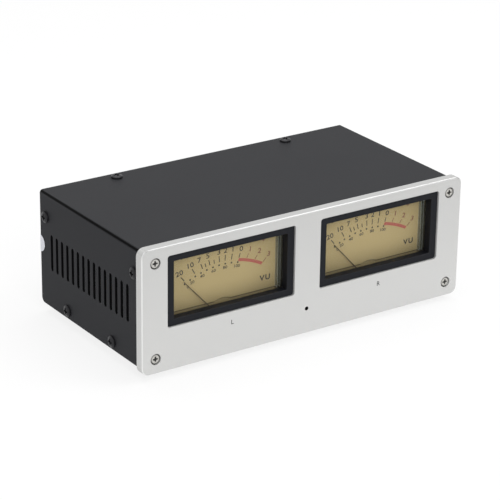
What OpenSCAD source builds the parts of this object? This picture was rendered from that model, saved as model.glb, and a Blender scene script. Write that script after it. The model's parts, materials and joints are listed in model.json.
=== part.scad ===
// Desktop level meter with two moving-coil movements behind a machined front panel.
// All sizes are millimetres. The part stands on its four feet, +Z is up, the panel faces -Y,
// and the origin is the middle of the footprint, on the surface that the feet stand on.
// Inside the modules y = 0 is the front face of the panel and z = 0 its lower edge;
// seat() moves every piece from there into the part's own frame.

/* [Front panel] */
// How far the panel stands out past the case at each side
panel_side = 1.95; // [1:0.05:8]
// How far the panel stands above the case
panel_over = 1.65; // [1:0.05:8]
// Thickness of the front panel
panel_t = 5; // [4:0.25:6]
// Radius of the panel's outer corners
panel_corner_r = 3.8; // [2:0.1:6]
// Bright chamfer round the panel's front edge
panel_chamfer = 0.45; // [0.2:0.05:0.8]
// Small chamfer round the panel's back edge
panel_back_chamfer = 0.3; // [0.1:0.05:0.6]
// Distance of each panel screw from the two nearest panel edges
panel_screw_inset = 7.2; // [6.6:0.1:7.6]
// Radius of the microphone's sound hole
mic_hole_r = 1; // [0.6:0.1:1.6]
// Height of the sound hole above the panel's lower edge
mic_z = 12.7; // [9:0.1:18]

/* [Windows and dials] */
// Width of each window in the panel
window_w = 69.3; // [62:0.1:76]
// Height of each window in the panel
window_h = 34.85; // [31:0.05:38]
// Radius of the windows' corners
window_corner_r = 1.2; // [0.5:0.1:1.5]
// Broken edge round each window
window_chamfer = 0.2; // [0.1:0.05:0.4]
// How far the bezel's front lies behind the panel's front
bezel_recess = 0.8; // [0.4:0.1:1.2]
// Width of the bezel's visible frame above and below the dial
bezel_border = 3.4; // [2.6:0.1:4]
// Width of the bezel's visible frame at the dial's sides
bezel_side = 3.8; // [3:0.1:4.2]
// Thickness of the bezel's flange behind the panel
bezel_flange_t = 1; // [0.8:0.1:1.5]
// Thickness of the clear lens
lens_t = 1.2; // [1:0.1:1.6]
// Thickness of the lens's side walls
lens_wall = 1.5; // [1:0.1:1.8]
// Gap from the lens to the middle of the needle, and from there to the dial
needle_air = 1.1; // [0.9:0.1:1.4]
// Thickness of the printed dial plate
dial_t = 0.6; // [0.4:0.1:1]
// Thickness of the plate that carries the dial
carrier_t = 0.8; // [0.6:0.1:1.2]
// Radius of the arch in the dial round the movement
arch_r = 10.9; // [10.5:0.1:11.2]
// Height of the opening in the plate behind the dial above the pivot
carrier_rise = 8.1; // [7.8:0.1:8.3]
// Length of the needle from its pivot to its tip
needle_len = 32; // [28:0.5:33]
// Width of the needle's blade
needle_w = 0.5; // [0.4:0.1:0.9]
// Angle of the resting needle, left of upright
needle_rest_angle = 42.5; // [38:0.5:43]
// Distance of the needle's pivot below the windows' lower edge
pivot_drop = 6.8; // [6.7:0.05:7.05]
// Gap between the flanges of the two meters
meter_gap = 10.8; // [9.4:0.1:20]

/* [Movement] */
// How far the meter's flange reaches past the window at each side
flange_side = 1.85; // [1.5:0.05:2.4]
// How far the meter's flange reaches above the window
flange_over = 0.85; // [0.6:0.05:1.6]
// Room between the movement's frame and the meter case below it
frame_room = 0.4; // [0.2:0.05:1]
// Wall thickness of the moulded meter case
meter_wall = 1.3; // [1:0.1:1.5]
// Depth of the shallow front part of the meter case
tray_depth = 7; // [6.6:0.1:9]
// Half the width of the deep rear part of the meter case
can_half_w = 22; // [16:0.5:26]
// Outer radius of the soft iron ring
yoke_r = 8.6; // [8.4:0.1:8.8]
// Wall of the soft iron ring
yoke_wall = 1.4; // [1.2:0.1:1.5]
// Length of the soft iron ring
yoke_len = 8; // [7:0.5:9]
// Radius of the magnet inside the coil
magnet_r = 4.9; // [4.4:0.1:5]
// Air between the magnet and the coil
coil_gap = 0.5; // [0.3:0.05:0.6]
// Thickness of the coil's winding
coil_t = 1.1; // [0.8:0.1:1.2]
// Half the height of the coil's sides
coil_half_h = 1.5; // [1:0.1:1.8]
// Radius of the pivot shaft
shaft_r = 0.6; // [0.4:0.05:0.8]
// Turns of each hairspring
spring_turns = 4; // [3:1:4]
// Distance between the turns of a hairspring
spring_pitch = 0.75; // [0.6:0.05:0.8]
// Thickness of the hairspring's strip
spring_t = 0.15; // [0.1:0.05:0.2]
// Throw of the zero adjuster's pin off its own axis
zero_throw = 1; // [0.8:0.1:1.1]
// Distance from the needle's pivot down to the zero adjuster
zero_drop = 5.8; // [5.6:0.1:6.2]

/* [Case] */
// Room between the meters and the chassis tabs beside them
tab_room = 1; // [0.5:0.1:8]
// Room between the meters and the top sheet
room_over = 1.35; // [1:0.05:8]
// Room between the meters and the chassis floor
room_under = 0.35; // [0.2:0.05:1]
// Depth of the case behind the panel
case_depth = 90.3; // [86:0.1:120]
// Height of the case's underside above the panel's lower edge
case_rise = 2.05; // [1.8:0.05:2.2]
// Thickness of the sheet steel
sheet_t = 1.2; // [1:0.1:1.3]
// Outer radius of the folds along the cover's top edges
fold_r = 1.6; // [1.5:0.1:3]
// Radius of the cover's lower corners, seen from the side
cover_corner_r = 2.6; // [1:0.1:3]
// Play between the cover and the sheet parts inside it
sheet_gap = 0.1; // [0.05:0.05:0.3]
// Number of cooling slots in each side
slot_count = 15; // [8:1:15]
// Distance between the slots
slot_pitch = 4.93; // [4:0.01:5]
// Width of each slot
slot_w = 2.3; // [1.5:0.1:2.6]
// Length of each slot
slot_len = 18.4; // [12:0.1:22]
// How far the slots sit below the case's middle
slot_drop = 0.25; // [0:0.05:3]
// Distance of the front side screws behind the panel
front_screw_inset = 4.6; // [4.4:0.1:6]
// Distance of the rear cover screws from the case's rear edge
cover_screw_inset = 5.5; // [5:0.1:6.5]
// Distance of the upper side screws below the case's top
upper_screw_drop = 12.1; // [11.6:0.1:15]
// Height of the lower side screws above the case's underside
lower_screw_z = 4.1; // [4:0.1:5]
// Distance between the lower side screws
lower_screw_pitch = 41; // [30:0.5:50]
// How far the lower side screws sit in front of the case's middle
lower_screw_shift = 0.5; // [0:0.1:2]
// Distance between the two screws in the top
top_screw_pitch = 98.4; // [80:0.1:120]
// Distance between the screws of the rear lip
lip_screw_pitch = 62; // [40:1:66]
// How far the cover's screws reach behind the sheets
screw_past = 1.6; // [1:0.1:3]
// Height of the upturned edges of the chassis
lip_h = 9; // [8.4:0.1:11]
// Depth of the flanges that carry the upper cover screws
flange_d = 9.6; // [9:0.1:12]
// Width of the tabs that carry the panel screws
tab_w = 7.6; // [7:0.1:7.8]

/* [Feet and seal] */
// Height of the feet
foot_h = 5; // [4:0.5:9]
// Radius of the feet at the top
foot_r = 6.5; // [5.5:0.1:8]
// Distance of the feet's centres from the case's sides
foot_inset_x = 16; // [13:0.5:26]
// Distance of the feet's centres from the panel and from the case's rear
foot_inset_y = 14; // [11:0.5:20]
// Radius of the paper seal folded over the rear left edge
seal_r = 4.25; // [3:0.05:6]
// Height of the seal's centre above the panel's lower edge
seal_z = 32.2; // [24:0.1:40]
// Thickness of the seal
seal_t = 0.15; // [0.1:0.05:0.3]

/* [Rear connections] */
// Radius of the input sockets' outer shell
rca_r = 4.15; // [4:0.05:4.3]
// Length of the input sockets' shell
rca_len = 8; // [7:0.5:10]
// Distance between the two input sockets
rca_pitch = 15; // [14:0.5:20]
// Sideways place of the middle of the input sockets
rca_x = 56; // [50:0.5:62]
// Radius of the level knob
knob_r = 7; // [6:0.5:9]
// Length of the level knob
knob_len = 13; // [10:0.5:16]
// Sideways place of the level knob
knob_x = 22; // [18:0.5:26]
// Radius of the level control's shaft
pot_shaft_r = 3; // [2.5:0.05:3.2]
// Sideways place of the source switch
source_x = -8; // [-12:0.5:-4]
// Travel of the source switch
source_travel = 4; // [3:0.5:5]
// Sideways place of the power switch
power_x = -40; // [-46:0.5:-34]
// Tilt of the power rocker to each side
rocker_tilt = 9; // [6:1:10]
// Sideways place of the supply inlet
dc_x = -66; // [-70:0.5:-62]
// Radius of the supply inlet's bore
dc_bore_r = 2.85; // [2.6:0.05:3]

/* [Circuit board] */
// Width of the circuit board
board_w = 116; // [90:1:130]
// Depth of the circuit board
board_d = 40; // [34:1:44]
// Thickness of the circuit board
board_t = 1.6; // [1:0.1:2]
// Height of the board's standoffs
standoff_h = 6; // [5:0.5:9]
// Distance of the board's holes from its edges
board_hole_inset = 4; // [3.5:0.1:6]
// Radius of the large capacitors
cap_r = 4; // [3:0.1:4.5]
// Height of the large capacitors
cap_h = 10; // [8:0.5:14]
// Radius of the small capacitors
small_cap_r = 3.15; // [2.5:0.05:4]
// Height of the small capacitors
small_cap_h = 8; // [6:0.5:12]
// Distance between neighbouring capacitors
cap_pitch = 14; // [11:0.5:16]
// Distance of each group of capacitors from the board's middle
cap_x = 30; // [27:0.5:32]
// Distance between neighbouring chips
chip_pitch = 16; // [14:0.5:20]
// Distance between neighbouring plug headers
header_pitch = 28; // [14:0.5:30]

/* [Screws] */
// Radius of the small screws' shanks
screw_r = 1.5; // [1.2:0.05:1.6]
// Radius of the small pan heads
pan_r = 2.8; // [2.5:0.05:2.9]
// Height of the small pan heads
pan_h = 1.5; // [1.4:0.1:2]
// Radius of the countersunk heads in the panel
flat_head_r = 2.3; // [2.2:0.05:2.5]
// Play of a screw in the hole that it passes through
hole_play = 0.15; // [0.1:0.05:0.2]
// Play left between a screw's shank and its thread
thread_play = 0.04; // [0.02:0.01:0.08]

/* [Hidden] */

$fn = 48;
eps = 0.01;
through = 200;

// Colours, as seen on the object or usual for the part
silver = [0.80, 0.80, 0.79];
black_coat = [0.19, 0.19, 0.20];
black_plastic = [0.13, 0.13, 0.15];
zinc = [0.70, 0.70, 0.68];
brass = [0.78, 0.62, 0.30];
copper = [0.72, 0.42, 0.24];
khaki = [0.62, 0.57, 0.42];
white_part = [0.90, 0.90, 0.88];

// Meters and windows, built up from the chassis floor and from the movement
case_play = 0.3;
frame_half_h = yoke_r + 0.1;
flange_under = pivot_drop + frame_half_h + frame_room + meter_wall + case_play;
meter_w = window_w + 2 * flange_side;
meter_h = flange_under + window_h + flange_over;
meter_z = case_rise + sheet_t + room_under;
window_z = meter_z + flange_under;
window_pitch = meter_w + meter_gap;

// Case round the meters and panel in front of it, seen from the panel's lower front edge
case_w = window_pitch + meter_w + 2 * (tab_room + tab_w + sheet_gap + sheet_t);
case_top = meter_z + meter_h + room_over + sheet_t;
case_h = case_top - case_rise;
case_back = panel_t + case_depth;
panel_w = case_w + 2 * panel_side;
panel_h = case_top + panel_over;
case_mid_y = panel_t + case_depth / 2;
inner_half_w = case_w / 2 - sheet_t - sheet_gap;
inner_top = case_top - sheet_t - sheet_gap;
fold_in_r = fold_r - sheet_t;
flange_top = inner_top - fold_in_r;
floor_z = case_rise + sheet_t;
rear_face = case_back - sheet_t;
rear_mid_z = case_rise + case_h / 2;
panel_screw_x = panel_w / 2 - panel_screw_inset;
front_screw_y = panel_t + front_screw_inset;
lower_screw_y = case_mid_y - lower_screw_shift;
rear_screw_y = case_back - cover_screw_inset;
upper_z = case_top - upper_screw_drop;
lower_z = case_rise + lower_screw_z;

// Window and bezel
window_mid_z = window_z + window_h / 2;
bezel_play = 0.1;
opening_w = window_w - 2 * bezel_side;
opening_h = window_h - 2 * bezel_border;
opening_low_z = window_z + bezel_border;
flange_back = panel_t + bezel_flange_t;
meter_mid_z = meter_z + meter_h / 2;

// Lens, needle and dial, front to back
lens_lip = 0.3;
lens_overlap = 1.6;
lens_inset = 1.8;
lens_front = panel_t - lens_lip;
lens_back = lens_front + lens_t;
needle_y = lens_back + needle_air;
dial_y = needle_y + needle_air;
carrier_y = dial_y + dial_t;
carrier_back = carrier_y + carrier_t;
dial_half_w = meter_w / 2 - case_play - meter_wall - 0.3;
dial_low_z = opening_low_z - 0.25;
dial_top_z = opening_low_z + opening_h + 1.4;
carrier_low_z = window_z - 4.2;
stake_r = 1;
stake_x = dial_half_w - 3.2;
stake_top_z = dial_top_z - 0.9 - stake_r;
stake_low_z = carrier_low_z + 2.4;

// Movement, front to back along the pivot axis
pivot_z = window_z - pivot_drop;
bridge_y = carrier_back + 0.2;
bridge_t = 1.2;
zero_arm_t = 0.4;
zero_arm_y = bridge_y - 0.2 - zero_arm_t;
zero_seat_r = 2.4;
zero_pin_r = 0.5;
zero_pin_drop = zero_drop - zero_throw;
spring_h = 0.4;
front_spring_y = bridge_y + bridge_t + 0.4;
hub_y = front_spring_y + spring_h + 0.5;
hub_len = 1.2;
hub_r = 1.6;
blade_t = 0.5;
coil_front = hub_y + hub_len + 0.5;
magnet_front = coil_front + coil_t + coil_gap;
magnet_len = yoke_len - 0.8;
magnet_back = magnet_front + magnet_len;
coil_back = magnet_back + coil_gap + coil_t;
coil_half_w = magnet_r + coil_gap + coil_t;
yoke_front = magnet_front - 0.4;
yoke_back = yoke_front + yoke_len;
rear_spring_y = coil_back + 0.4;
base_y = rear_spring_y + spring_h + 0.5;
base_t = 1.2;
base_back = base_y + base_t;
post_w = 1.6;
post_x = yoke_r + 0.3 + post_w / 2;
post_half_h = 1.8;
web_half_w = 1.5;
web_seat_h = yoke_r - magnet_r - 0.1;
jewel_r = 1.3;
pivot_gap = 0.1;
spring_in_r = 1.25;
spring_out_r = spring_in_r + spring_turns * spring_pitch;
collet_r = spring_in_r - spring_t / 2;

// Meter case
tray_front = flange_back;
tray_back = tray_front + tray_depth;
can_back = base_back + 1 + meter_wall;
can_top_z = pivot_z + 24;
boss_w = 8;
meter_screw_r = 1.2;
meter_screw_x = meter_w / 2 - 5;
meter_screw_z = meter_z + 5;
meter_screw_depth = 3.3;
meter_pan_r = 2.2;
meter_pan_h = 1.5;
terminal_r = 1.5;
terminal_x = 14;
terminal_z = pivot_z + 14;

// Rear connections
dc_r = 5.5;
rocker_w = 9.4;
rocker_h = 15;
switch_body_w = 13;
switch_body_h = 19;
switch_flange = 1.2;
switch_depth = 14;
lever_w = 4;
lever_h = 3.4;
lever_out = 2.6;
washer_t = 1;
pot_bush_r = 3.6;
pot_can_d = 8;
shaft_grip = 9;

rocker_pivot_y = case_back + switch_flange - 3;
rocker_r = 8;
rocker_pin_r = 0.9;
mic_capsule_r = 3;

// Board
board_back = rear_face - 2;
board_front = board_back - board_d;
board_z = floor_z + standoff_h;
board_top = board_z + board_t;
header_d = 5.6;
header_y = board_front + 0.6 + header_d / 2;
cap_y = header_y + header_d / 2 + 0.8 + cap_r;
small_cap_y = cap_y + cap_r + 4.85 + small_cap_r;
hex_r = 2.9;

// How far the rearmost piece, the knob, reaches, which sets the middle of the footprint
knob_start = case_back + 2.4;
rear_reach = knob_start + knob_len;

module seat() {
    translate([0, -rear_reach / 2, foot_h - case_rise]) children();
}

// ---- Shared forms ----

// Rectangle with rounded corners, centred
module rounded_rect(w, h, r) {
    square([w - 2 * r, h], center = true);
    square([w, h - 2 * r], center = true);
    for (sx = [-1, 1], sy = [-1, 1])
        translate([sx * (w / 2 - r), sy * (h / 2 - r)]) circle(r);
}

// Outline drawn in X and Z, made thick towards the back from y
module slab(y, t) {
    translate([0, y + t, 0]) rotate([90, 0, 0]) linear_extrude(t) children();
}

// Round bar along +Y from y
module bar(y, len, r) {
    translate([0, y, 0]) rotate([-90, 0, 0]) cylinder(h = len, r = r);
}

// Block with rounded corners whose outline grows by steps[i][1] at depth steps[i][0]
module profiled_block(w, h, r, steps) {
    first = steps[0];
    last = steps[len(steps) - 1];
    for (sx = [-1, 1], sz = [-1, 1])
        translate([sx * (w / 2 - r), 0, sz * (h / 2 - r)])
            rotate([-90, 0, 0]) rotate_extrude()
                polygon(concat([[0, first[0]]], [for (s = steps) [r + s[1], s[0]]], [[0, last[0]]]));
    translate([r - w / 2, 0, 0]) rotate([90, 0, 90]) linear_extrude(w - 2 * r)
        polygon(concat(
            [for (s = steps) [s[0], h / 2 + s[1]]],
            [for (i = [len(steps) - 1:-1:0]) [steps[i][0], -h / 2 - steps[i][1]]]));
    translate([0, 0, r - h / 2]) linear_extrude(h - 2 * r)
        polygon(concat(
            [for (s = steps) [w / 2 + s[1], s[0]]],
            [for (i = [len(steps) - 1:-1:0]) [-w / 2 - steps[i][1], steps[i][0]]]));
}

// Cross recess cut into a screw head whose top is z = 0
module cross_recess(span, depth) {
    cross_w = span * 0.3;
    for (a = [0, 90]) rotate([0, 0, a])
        translate([-span / 2, -cross_w / 2, -depth]) cube([span, cross_w, depth + eps]);
    translate([0, 0, -depth]) cylinder(h = depth + eps, r1 = cross_w / 2, r2 = cross_w * 0.95);
}

// Pan head screw: head above z = 0, shank below
module pan_screw(len, r = screw_r, head_r = pan_r, head_h = pan_h) {
    dome_r = 0.8 * (head_r * head_r + head_h * head_h) / head_h;
    difference() {
        intersection() {
            cylinder(h = head_h, r = head_r);
            translate([0, 0, head_h * 1.12 - dome_r]) sphere(dome_r);
        }
        translate([0, 0, head_h]) cross_recess(head_r * 1.15, head_h * 0.62);
    }
    translate([0, 0, -len]) cylinder(h = len + eps, r = r - thread_play);
}

// Countersunk screw: flat head top at z = 0, shank below
module flat_screw(len) {
    rim = 0.3;
    cone_h = flat_head_r - screw_r;
    difference() {
        union() {
            translate([0, 0, -rim]) cylinder(h = rim, r = flat_head_r);
            translate([0, 0, -rim - cone_h]) cylinder(h = cone_h, r1 = screw_r, r2 = flat_head_r);
        }
        cross_recess(flat_head_r * 1.25, 1.4);
    }
    translate([0, 0, -len]) cylinder(h = len - rim, r = screw_r - thread_play);
}

module panel_screw_places() {
    for (sx = [-1, 1], z = [panel_screw_inset, panel_h - panel_screw_inset])
        translate([sx * panel_screw_x, 0, z]) children();
}

// Children are drawn once at each side screw, pointing out of the case along +Z
module side_screw_places() {
    for (sx = [-1, 1]) {
        for (y = [front_screw_y, rear_screw_y])
            translate([sx * case_w / 2, y, upper_z]) rotate([0, sx * 90, 0]) children();
        for (sy = [-1, 1])
            translate([sx * case_w / 2, lower_screw_y + sy * lower_screw_pitch / 2, lower_z])
                rotate([0, sx * 90, 0]) children();
    }
}

module top_screw_places() {
    for (sx = [-1, 1])
        translate([sx * top_screw_pitch / 2, rear_screw_y, case_top]) children();
}

module lip_screw_places() {
    for (i = [-1:1])
        translate([i * lip_screw_pitch, case_back, lower_z]) rotate([-90, 0, 0]) children();
}

module foot_places() {
    for (sx = [-1, 1], y = [panel_t + foot_inset_y, case_back - foot_inset_y])
        translate([sx * (case_w / 2 - foot_inset_x), y, 0]) children();
}

module board_hole_places() {
    for (sx = [-1, 1], y = [board_front + board_hole_inset, board_back - board_hole_inset])
        translate([sx * (board_w / 2 - board_hole_inset), y, 0]) children();
}

// Both meters, one meter, and the pivot axis of a meter
module each_meter() {
    for (sx = [-1, 1]) translate([sx * window_pitch / 2, 0, 0]) children();
}

module at_meter(sx) {
    translate([sx * window_pitch / 2, 0, 0]) children();
}

module at_pivot(sx) {
    translate([sx * window_pitch / 2, 0, pivot_z]) children();
}

// ---- Enclosure ----

// Machined aluminium plate with two windows, four countersinks and the sound hole
module front_panel() {
    sink_r = flat_head_r + 0.4;
    sink_rim = 0.6;
    hole_r = screw_r + hole_play;
    color(silver) seat() difference() {
        translate([0, 0, panel_h / 2])
            profiled_block(panel_w, panel_h, panel_corner_r, [
                [0, -panel_chamfer], [panel_chamfer, 0],
                [panel_t - panel_back_chamfer, 0], [panel_t, -panel_back_chamfer]]);
        each_meter() translate([0, 0, window_mid_z])
            profiled_block(window_w, window_h, window_corner_r, [
                [-eps, window_chamfer + eps], [window_chamfer, 0], [panel_t + eps, 0]]);
        panel_screw_places() {
            bar(-eps, panel_t + 2 * eps, hole_r);
            bar(-eps, sink_rim + eps, sink_r);
            translate([0, sink_rim, 0]) rotate([-90, 0, 0])
                cylinder(h = sink_r - hole_r, r1 = sink_r, r2 = hole_r);
        }
        translate([0, 0, mic_z]) bar(-eps, panel_t + 2 * eps, mic_hole_r);
        each_meter() for (sx = [-1, 1])
            translate([sx * meter_screw_x, 0, meter_screw_z])
                bar(panel_t - meter_screw_depth, meter_screw_depth + eps, meter_screw_r);
    }
}

module panel_screws() {
    sunk = 0.3;
    reach = panel_t + sheet_t + 2.4;
    color(zinc) seat() panel_screw_places()
        translate([0, sunk, 0]) rotate([90, 0, 0]) flat_screw(reach);
}

// Nuts pressed into the chassis tabs for the panel screws
module clinch_nuts() {
    nut_r = 2.7;
    nut_h = 2.6;
    color(zinc) seat() panel_screw_places() difference() {
        bar(panel_t + sheet_t, nut_h, nut_r);
        bar(panel_t, nut_h + sheet_t + 1, screw_r);
    }
}

// Bent tray: floor, side and rear lips, and two front angles with tabs for the panel
module chassis() {
    lip_top = case_rise + lip_h;
    tab_x = inner_half_w - tab_w;
    lip_y = rear_face - sheet_t;
    color(zinc) seat() difference() {
        union() {
            translate([-inner_half_w, panel_t, case_rise])
                cube([2 * inner_half_w, rear_face - panel_t, sheet_t]);
            translate([-inner_half_w, lip_y, case_rise]) cube([2 * inner_half_w, sheet_t, lip_h]);
            for (sx = [-1, 1]) {
                translate([sx * (inner_half_w - sheet_t / 2) - sheet_t / 2, panel_t, case_rise])
                    cube([sheet_t, rear_face - panel_t, lip_h]);
                translate([sx * (tab_x + tab_w / 2) - tab_w / 2, panel_t, case_rise])
                    cube([tab_w, sheet_t, flange_top - case_rise]);
                translate([sx * (inner_half_w - sheet_t / 2) - sheet_t / 2, panel_t, case_rise])
                    cube([sheet_t, flange_d, flange_top - case_rise]);
            }
        }
        panel_screw_places() bar(panel_t - eps, sheet_t + 2 * eps, screw_r + hole_play);
        side_screw_places() translate([0, 0, -8]) cylinder(h = 9, r = screw_r);
        lip_screw_places() translate([0, 0, -8]) cylinder(h = 9, r = screw_r);
        foot_places() translate([0, 0, case_rise - 1]) cylinder(h = 4, r = screw_r);
        board_hole_places() translate([0, 0, case_rise - 1]) cylinder(h = 4, r = screw_r);
    }
}

// Section of the cover: an upside-down U with rounded folds
module cover_section(w, h, r) {
    translate([0, -h / 2]) square([w - 2 * r, h], center = true);
    translate([0, -(h + r) / 2]) square([w, h - r], center = true);
    for (sx = [-1, 1]) translate([sx * (w / 2 - r), -r]) circle(r);
}

// Folded steel cover: top and both sides in one sheet, with cooling slots in the sides
module cover() {
    color(black_coat) seat() difference() {
        intersection() {
            slab(panel_t, case_depth) translate([0, case_top]) difference() {
                cover_section(case_w, case_h, fold_r);
                translate([0, -sheet_t])
                    cover_section(case_w - 2 * sheet_t, case_h, fold_in_r);
            }
            cover_side_outline();
        }
        for (i = [0:slot_count - 1])
            translate([0, case_mid_y + (i - (slot_count - 1) / 2) * slot_pitch,
                rear_mid_z - slot_drop]) vent_slot();
        side_screw_places() translate([0, 0, -sheet_t - 1])
            cylinder(h = sheet_t + 2, r = screw_r + hole_play);
        top_screw_places() translate([0, 0, -sheet_t - 1])
            cylinder(h = sheet_t + 2, r = screw_r + hole_play);
    }
}

// Side view of the cover with its lower corners rounded
module cover_side_outline() {
    translate([-through / 2, 0, 0]) rotate([90, 0, 90]) linear_extrude(through) {
        translate([panel_t, case_rise + cover_corner_r])
            square([case_depth, case_h]);
        translate([panel_t + cover_corner_r, case_rise])
            square([case_depth - 2 * cover_corner_r, 2 * cover_corner_r]);
        for (y = [panel_t + cover_corner_r, case_back - cover_corner_r])
            translate([y, case_rise + cover_corner_r]) circle(cover_corner_r);
    }
}

// One cooling slot cut through both sides
module vent_slot() {
    translate([-through / 2, -slot_w / 2, (slot_w - slot_len) / 2])
        cube([through, slot_w, slot_len - slot_w]);
    for (s = [-1, 1])
        translate([-through / 2, 0, s * (slot_len - slot_w) / 2])
            rotate([0, 90, 0]) cylinder(h = through, r = slot_w / 2);
}

// Rear sheet with side and top flanges and the holes for switches, sockets and control
module rear_panel() {
    plate_h = inner_top - case_rise;
    flange_front = case_back - flange_d;
    color(black_coat) seat() difference() {
        union() {
            slab(rear_face, sheet_t) translate([0, inner_top])
                cover_section(2 * inner_half_w, plate_h, fold_in_r);
            translate([fold_r - inner_half_w, flange_front, inner_top - sheet_t])
                cube([2 * (inner_half_w - fold_r), flange_d, sheet_t]);
            for (sx = [-1, 1])
                translate([sx * (inner_half_w - sheet_t / 2) - sheet_t / 2,
                    flange_front, case_rise + lip_h + 1])
                    cube([sheet_t, flange_d, flange_top - case_rise - lip_h - 1]);
        }
        side_screw_places() translate([0, 0, -8]) cylinder(h = 9, r = screw_r);
        top_screw_places() translate([0, 0, -8]) cylinder(h = 9, r = screw_r);
        lip_screw_places() translate([0, 0, -sheet_t - 0.5])
            cylinder(h = sheet_t + 1, r = screw_r + hole_play);
        translate([0, rear_face - 1, rear_mid_z]) rear_holes();
    }
}

module rear_holes() {
    depth = sheet_t + 2;
    translate([dc_x, 0, 0]) bar(0, depth, dc_r + hole_play);
    translate([power_x - switch_body_w / 2, 0, -switch_body_h / 2])
        cube([switch_body_w, depth, switch_body_h]);
    translate([source_x - (lever_w + source_travel) / 2 - 0.4, 0, -lever_h / 2 - 0.4])
        cube([lever_w + source_travel + 0.8, depth, lever_h + 0.8]);
    translate([knob_x, 0, 0]) bar(0, depth, pot_bush_r + hole_play);
    for (s = [-1, 1])
        translate([rca_x + s * rca_pitch / 2, 0, 0]) bar(0, depth, rca_r - 0.65);
}

// Black pan head screws of the cover and the rear sheet
module case_screws() {
    shank = sheet_t * 2 + sheet_gap + screw_past;
    color(black_coat) seat() {
        side_screw_places() pan_screw(shank);
        top_screw_places() pan_screw(shank);
        lip_screw_places() pan_screw(shank);
    }
}

// Turned rubber feet with a recess for the screw
module feet() {
    taper = 0.9;
    edge = 0.6;
    recess_r = pan_r + 0.5;
    recess_h = foot_h - 2.2;
    color(black_plastic) seat() foot_places()
        translate([0, 0, case_rise - foot_h]) difference() {
            rotate_extrude() polygon([
                [0, 0], [foot_r - taper - edge, 0], [foot_r - taper, edge],
                [foot_r, foot_h - edge], [foot_r, foot_h], [0, foot_h]]);
            translate([0, 0, -1]) cylinder(h = recess_h + 1, r = recess_r);
            cylinder(h = foot_h + 1, r = screw_r + hole_play);
        }
}

// Plated pan head screws: four through the feet, four through the board
module small_screws() {
    foot_head_z = case_rise - 2.2;
    color(zinc) seat() {
        foot_places() translate([0, 0, foot_head_z]) rotate([180, 0, 0])
            pan_screw(2.2 + sheet_t + 0.8);
        board_hole_places() translate([0, 0, board_top]) pan_screw(board_t + 3);
    }
}

// Round paper seal, half on the cover's left side and half on the rear sheet
module seal() {
    past_edge = 0.5;
    color(white_part) seat() {
        translate([-case_w / 2, case_back, seal_z]) {
            intersection() {
                translate([-seal_t, past_edge, 0]) rotate([0, 90, 0])
                    cylinder(h = seal_t, r = seal_r);
                translate([-seal_t, -2 * seal_r, -seal_r]) cube([seal_t, 2 * seal_r, 2 * seal_r]);
            }
            intersection() {
                translate([past_edge, 0, 0]) bar(0, seal_t, seal_r);
                translate([-seal_t, 0, -seal_r]) cube([2 * seal_r, seal_t, 2 * seal_r]);
            }
        }
    }
}

// ---- Meter ----

// Moulded black frame that fills the window, with the flange that clamps it from behind
module bezel(sx) {
    ring_w = window_w - 2 * bezel_play;
    ring_h = window_h - 2 * bezel_play;
    pocket_w = opening_w + 2 * lens_overlap + 0.1;
    pocket_h = opening_h + 2 * lens_overlap + 0.1;
    color(black_plastic) seat() at_meter(sx) difference() {
        union() {
            translate([0, 0, window_mid_z])
                profiled_block(ring_w, ring_h, window_corner_r, [
                    [bezel_recess, -0.15], [bezel_recess + 0.15, 0], [panel_t + eps, 0]]);
            slab(panel_t, bezel_flange_t) translate([0, meter_mid_z])
                rounded_rect(meter_w, meter_h, 2);
        }
        translate([0, 0, window_mid_z])
            profiled_block(opening_w, opening_h, 0.5, [
                [bezel_recess - eps, 0.2 + eps], [bezel_recess + 0.2, 0], [lens_front + 1, 0]]);
        slab(lens_front, panel_t) translate([0, window_mid_z])
            square([pocket_w, pocket_h], center = true);
        for (s = [-1, 1]) translate([s * meter_screw_x, 0, meter_screw_z])
            bar(panel_t - eps, bezel_flange_t + 2 * eps, meter_screw_r + hole_play);
        translate([0, 0, pivot_z - zero_drop])
            bar(panel_t - eps, bezel_flange_t + 2 * eps, zero_seat_r);
    }
}

// Clear moulded lens: a front sheet with walls at the top and both sides, open below
module lens(sx) {
    sheet_w = opening_w + 2 * lens_overlap;
    sheet_h = opening_h + 2 * lens_overlap;
    wall_x = opening_w / 2 - lens_inset;
    wall_low = opening_low_z;
    wall_top = opening_low_z + opening_h - 0.6;
    depth = dial_y - lens_front;
    color([0.85, 0.92, 0.90, 0.35]) seat() at_meter(sx) {
        slab(lens_front, lens_t) translate([0, window_mid_z])
            square([sheet_w, sheet_h], center = true);
        for (s = [-1, 1])
            translate([s * (wall_x + lens_wall / 2) - lens_wall / 2, lens_front, wall_low])
                cube([lens_wall, depth, wall_top + lens_wall - wall_low]);
        translate([-wall_x - lens_wall, lens_front, wall_top])
            cube([2 * (wall_x + lens_wall), depth, lens_wall]);
    }
}

// Arch over the movement, taken out of the dial and its carrier
module arch_cut() {
    translate([0, pivot_z]) circle(arch_r, $fn = 96);
}

module stake_holes(low) {
    for (s = [-1, 1]) {
        translate([s * stake_x, stake_top_z]) circle(stake_r + 0.1);
        if (low) translate([s * stake_x, stake_low_z]) circle(stake_r + 0.1);
    }
}

// Printed dial plate
module dial(sx) {
    color(khaki) seat() at_meter(sx) slab(dial_y, dial_t) difference() {
        translate([-dial_half_w, dial_low_z]) square([2 * dial_half_w, dial_top_z - dial_low_z]);
        arch_cut();
        stake_holes(false);
    }
}

// Sheet behind the dial, staked to the meter case
module dial_carrier(sx) {
    color(khaki) seat() at_meter(sx) slab(carrier_y, carrier_t) difference() {
        translate([-dial_half_w, carrier_low_z])
            square([2 * dial_half_w, dial_top_z - carrier_low_z]);
        intersection() {
            arch_cut();
            translate([-arch_r, 0]) square([2 * arch_r, pivot_z + carrier_rise]);
        }
        stake_holes(true);
        for (s = [-1, 1]) translate([s * 12, dial_top_z - 5]) circle(2);
    }
}

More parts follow.
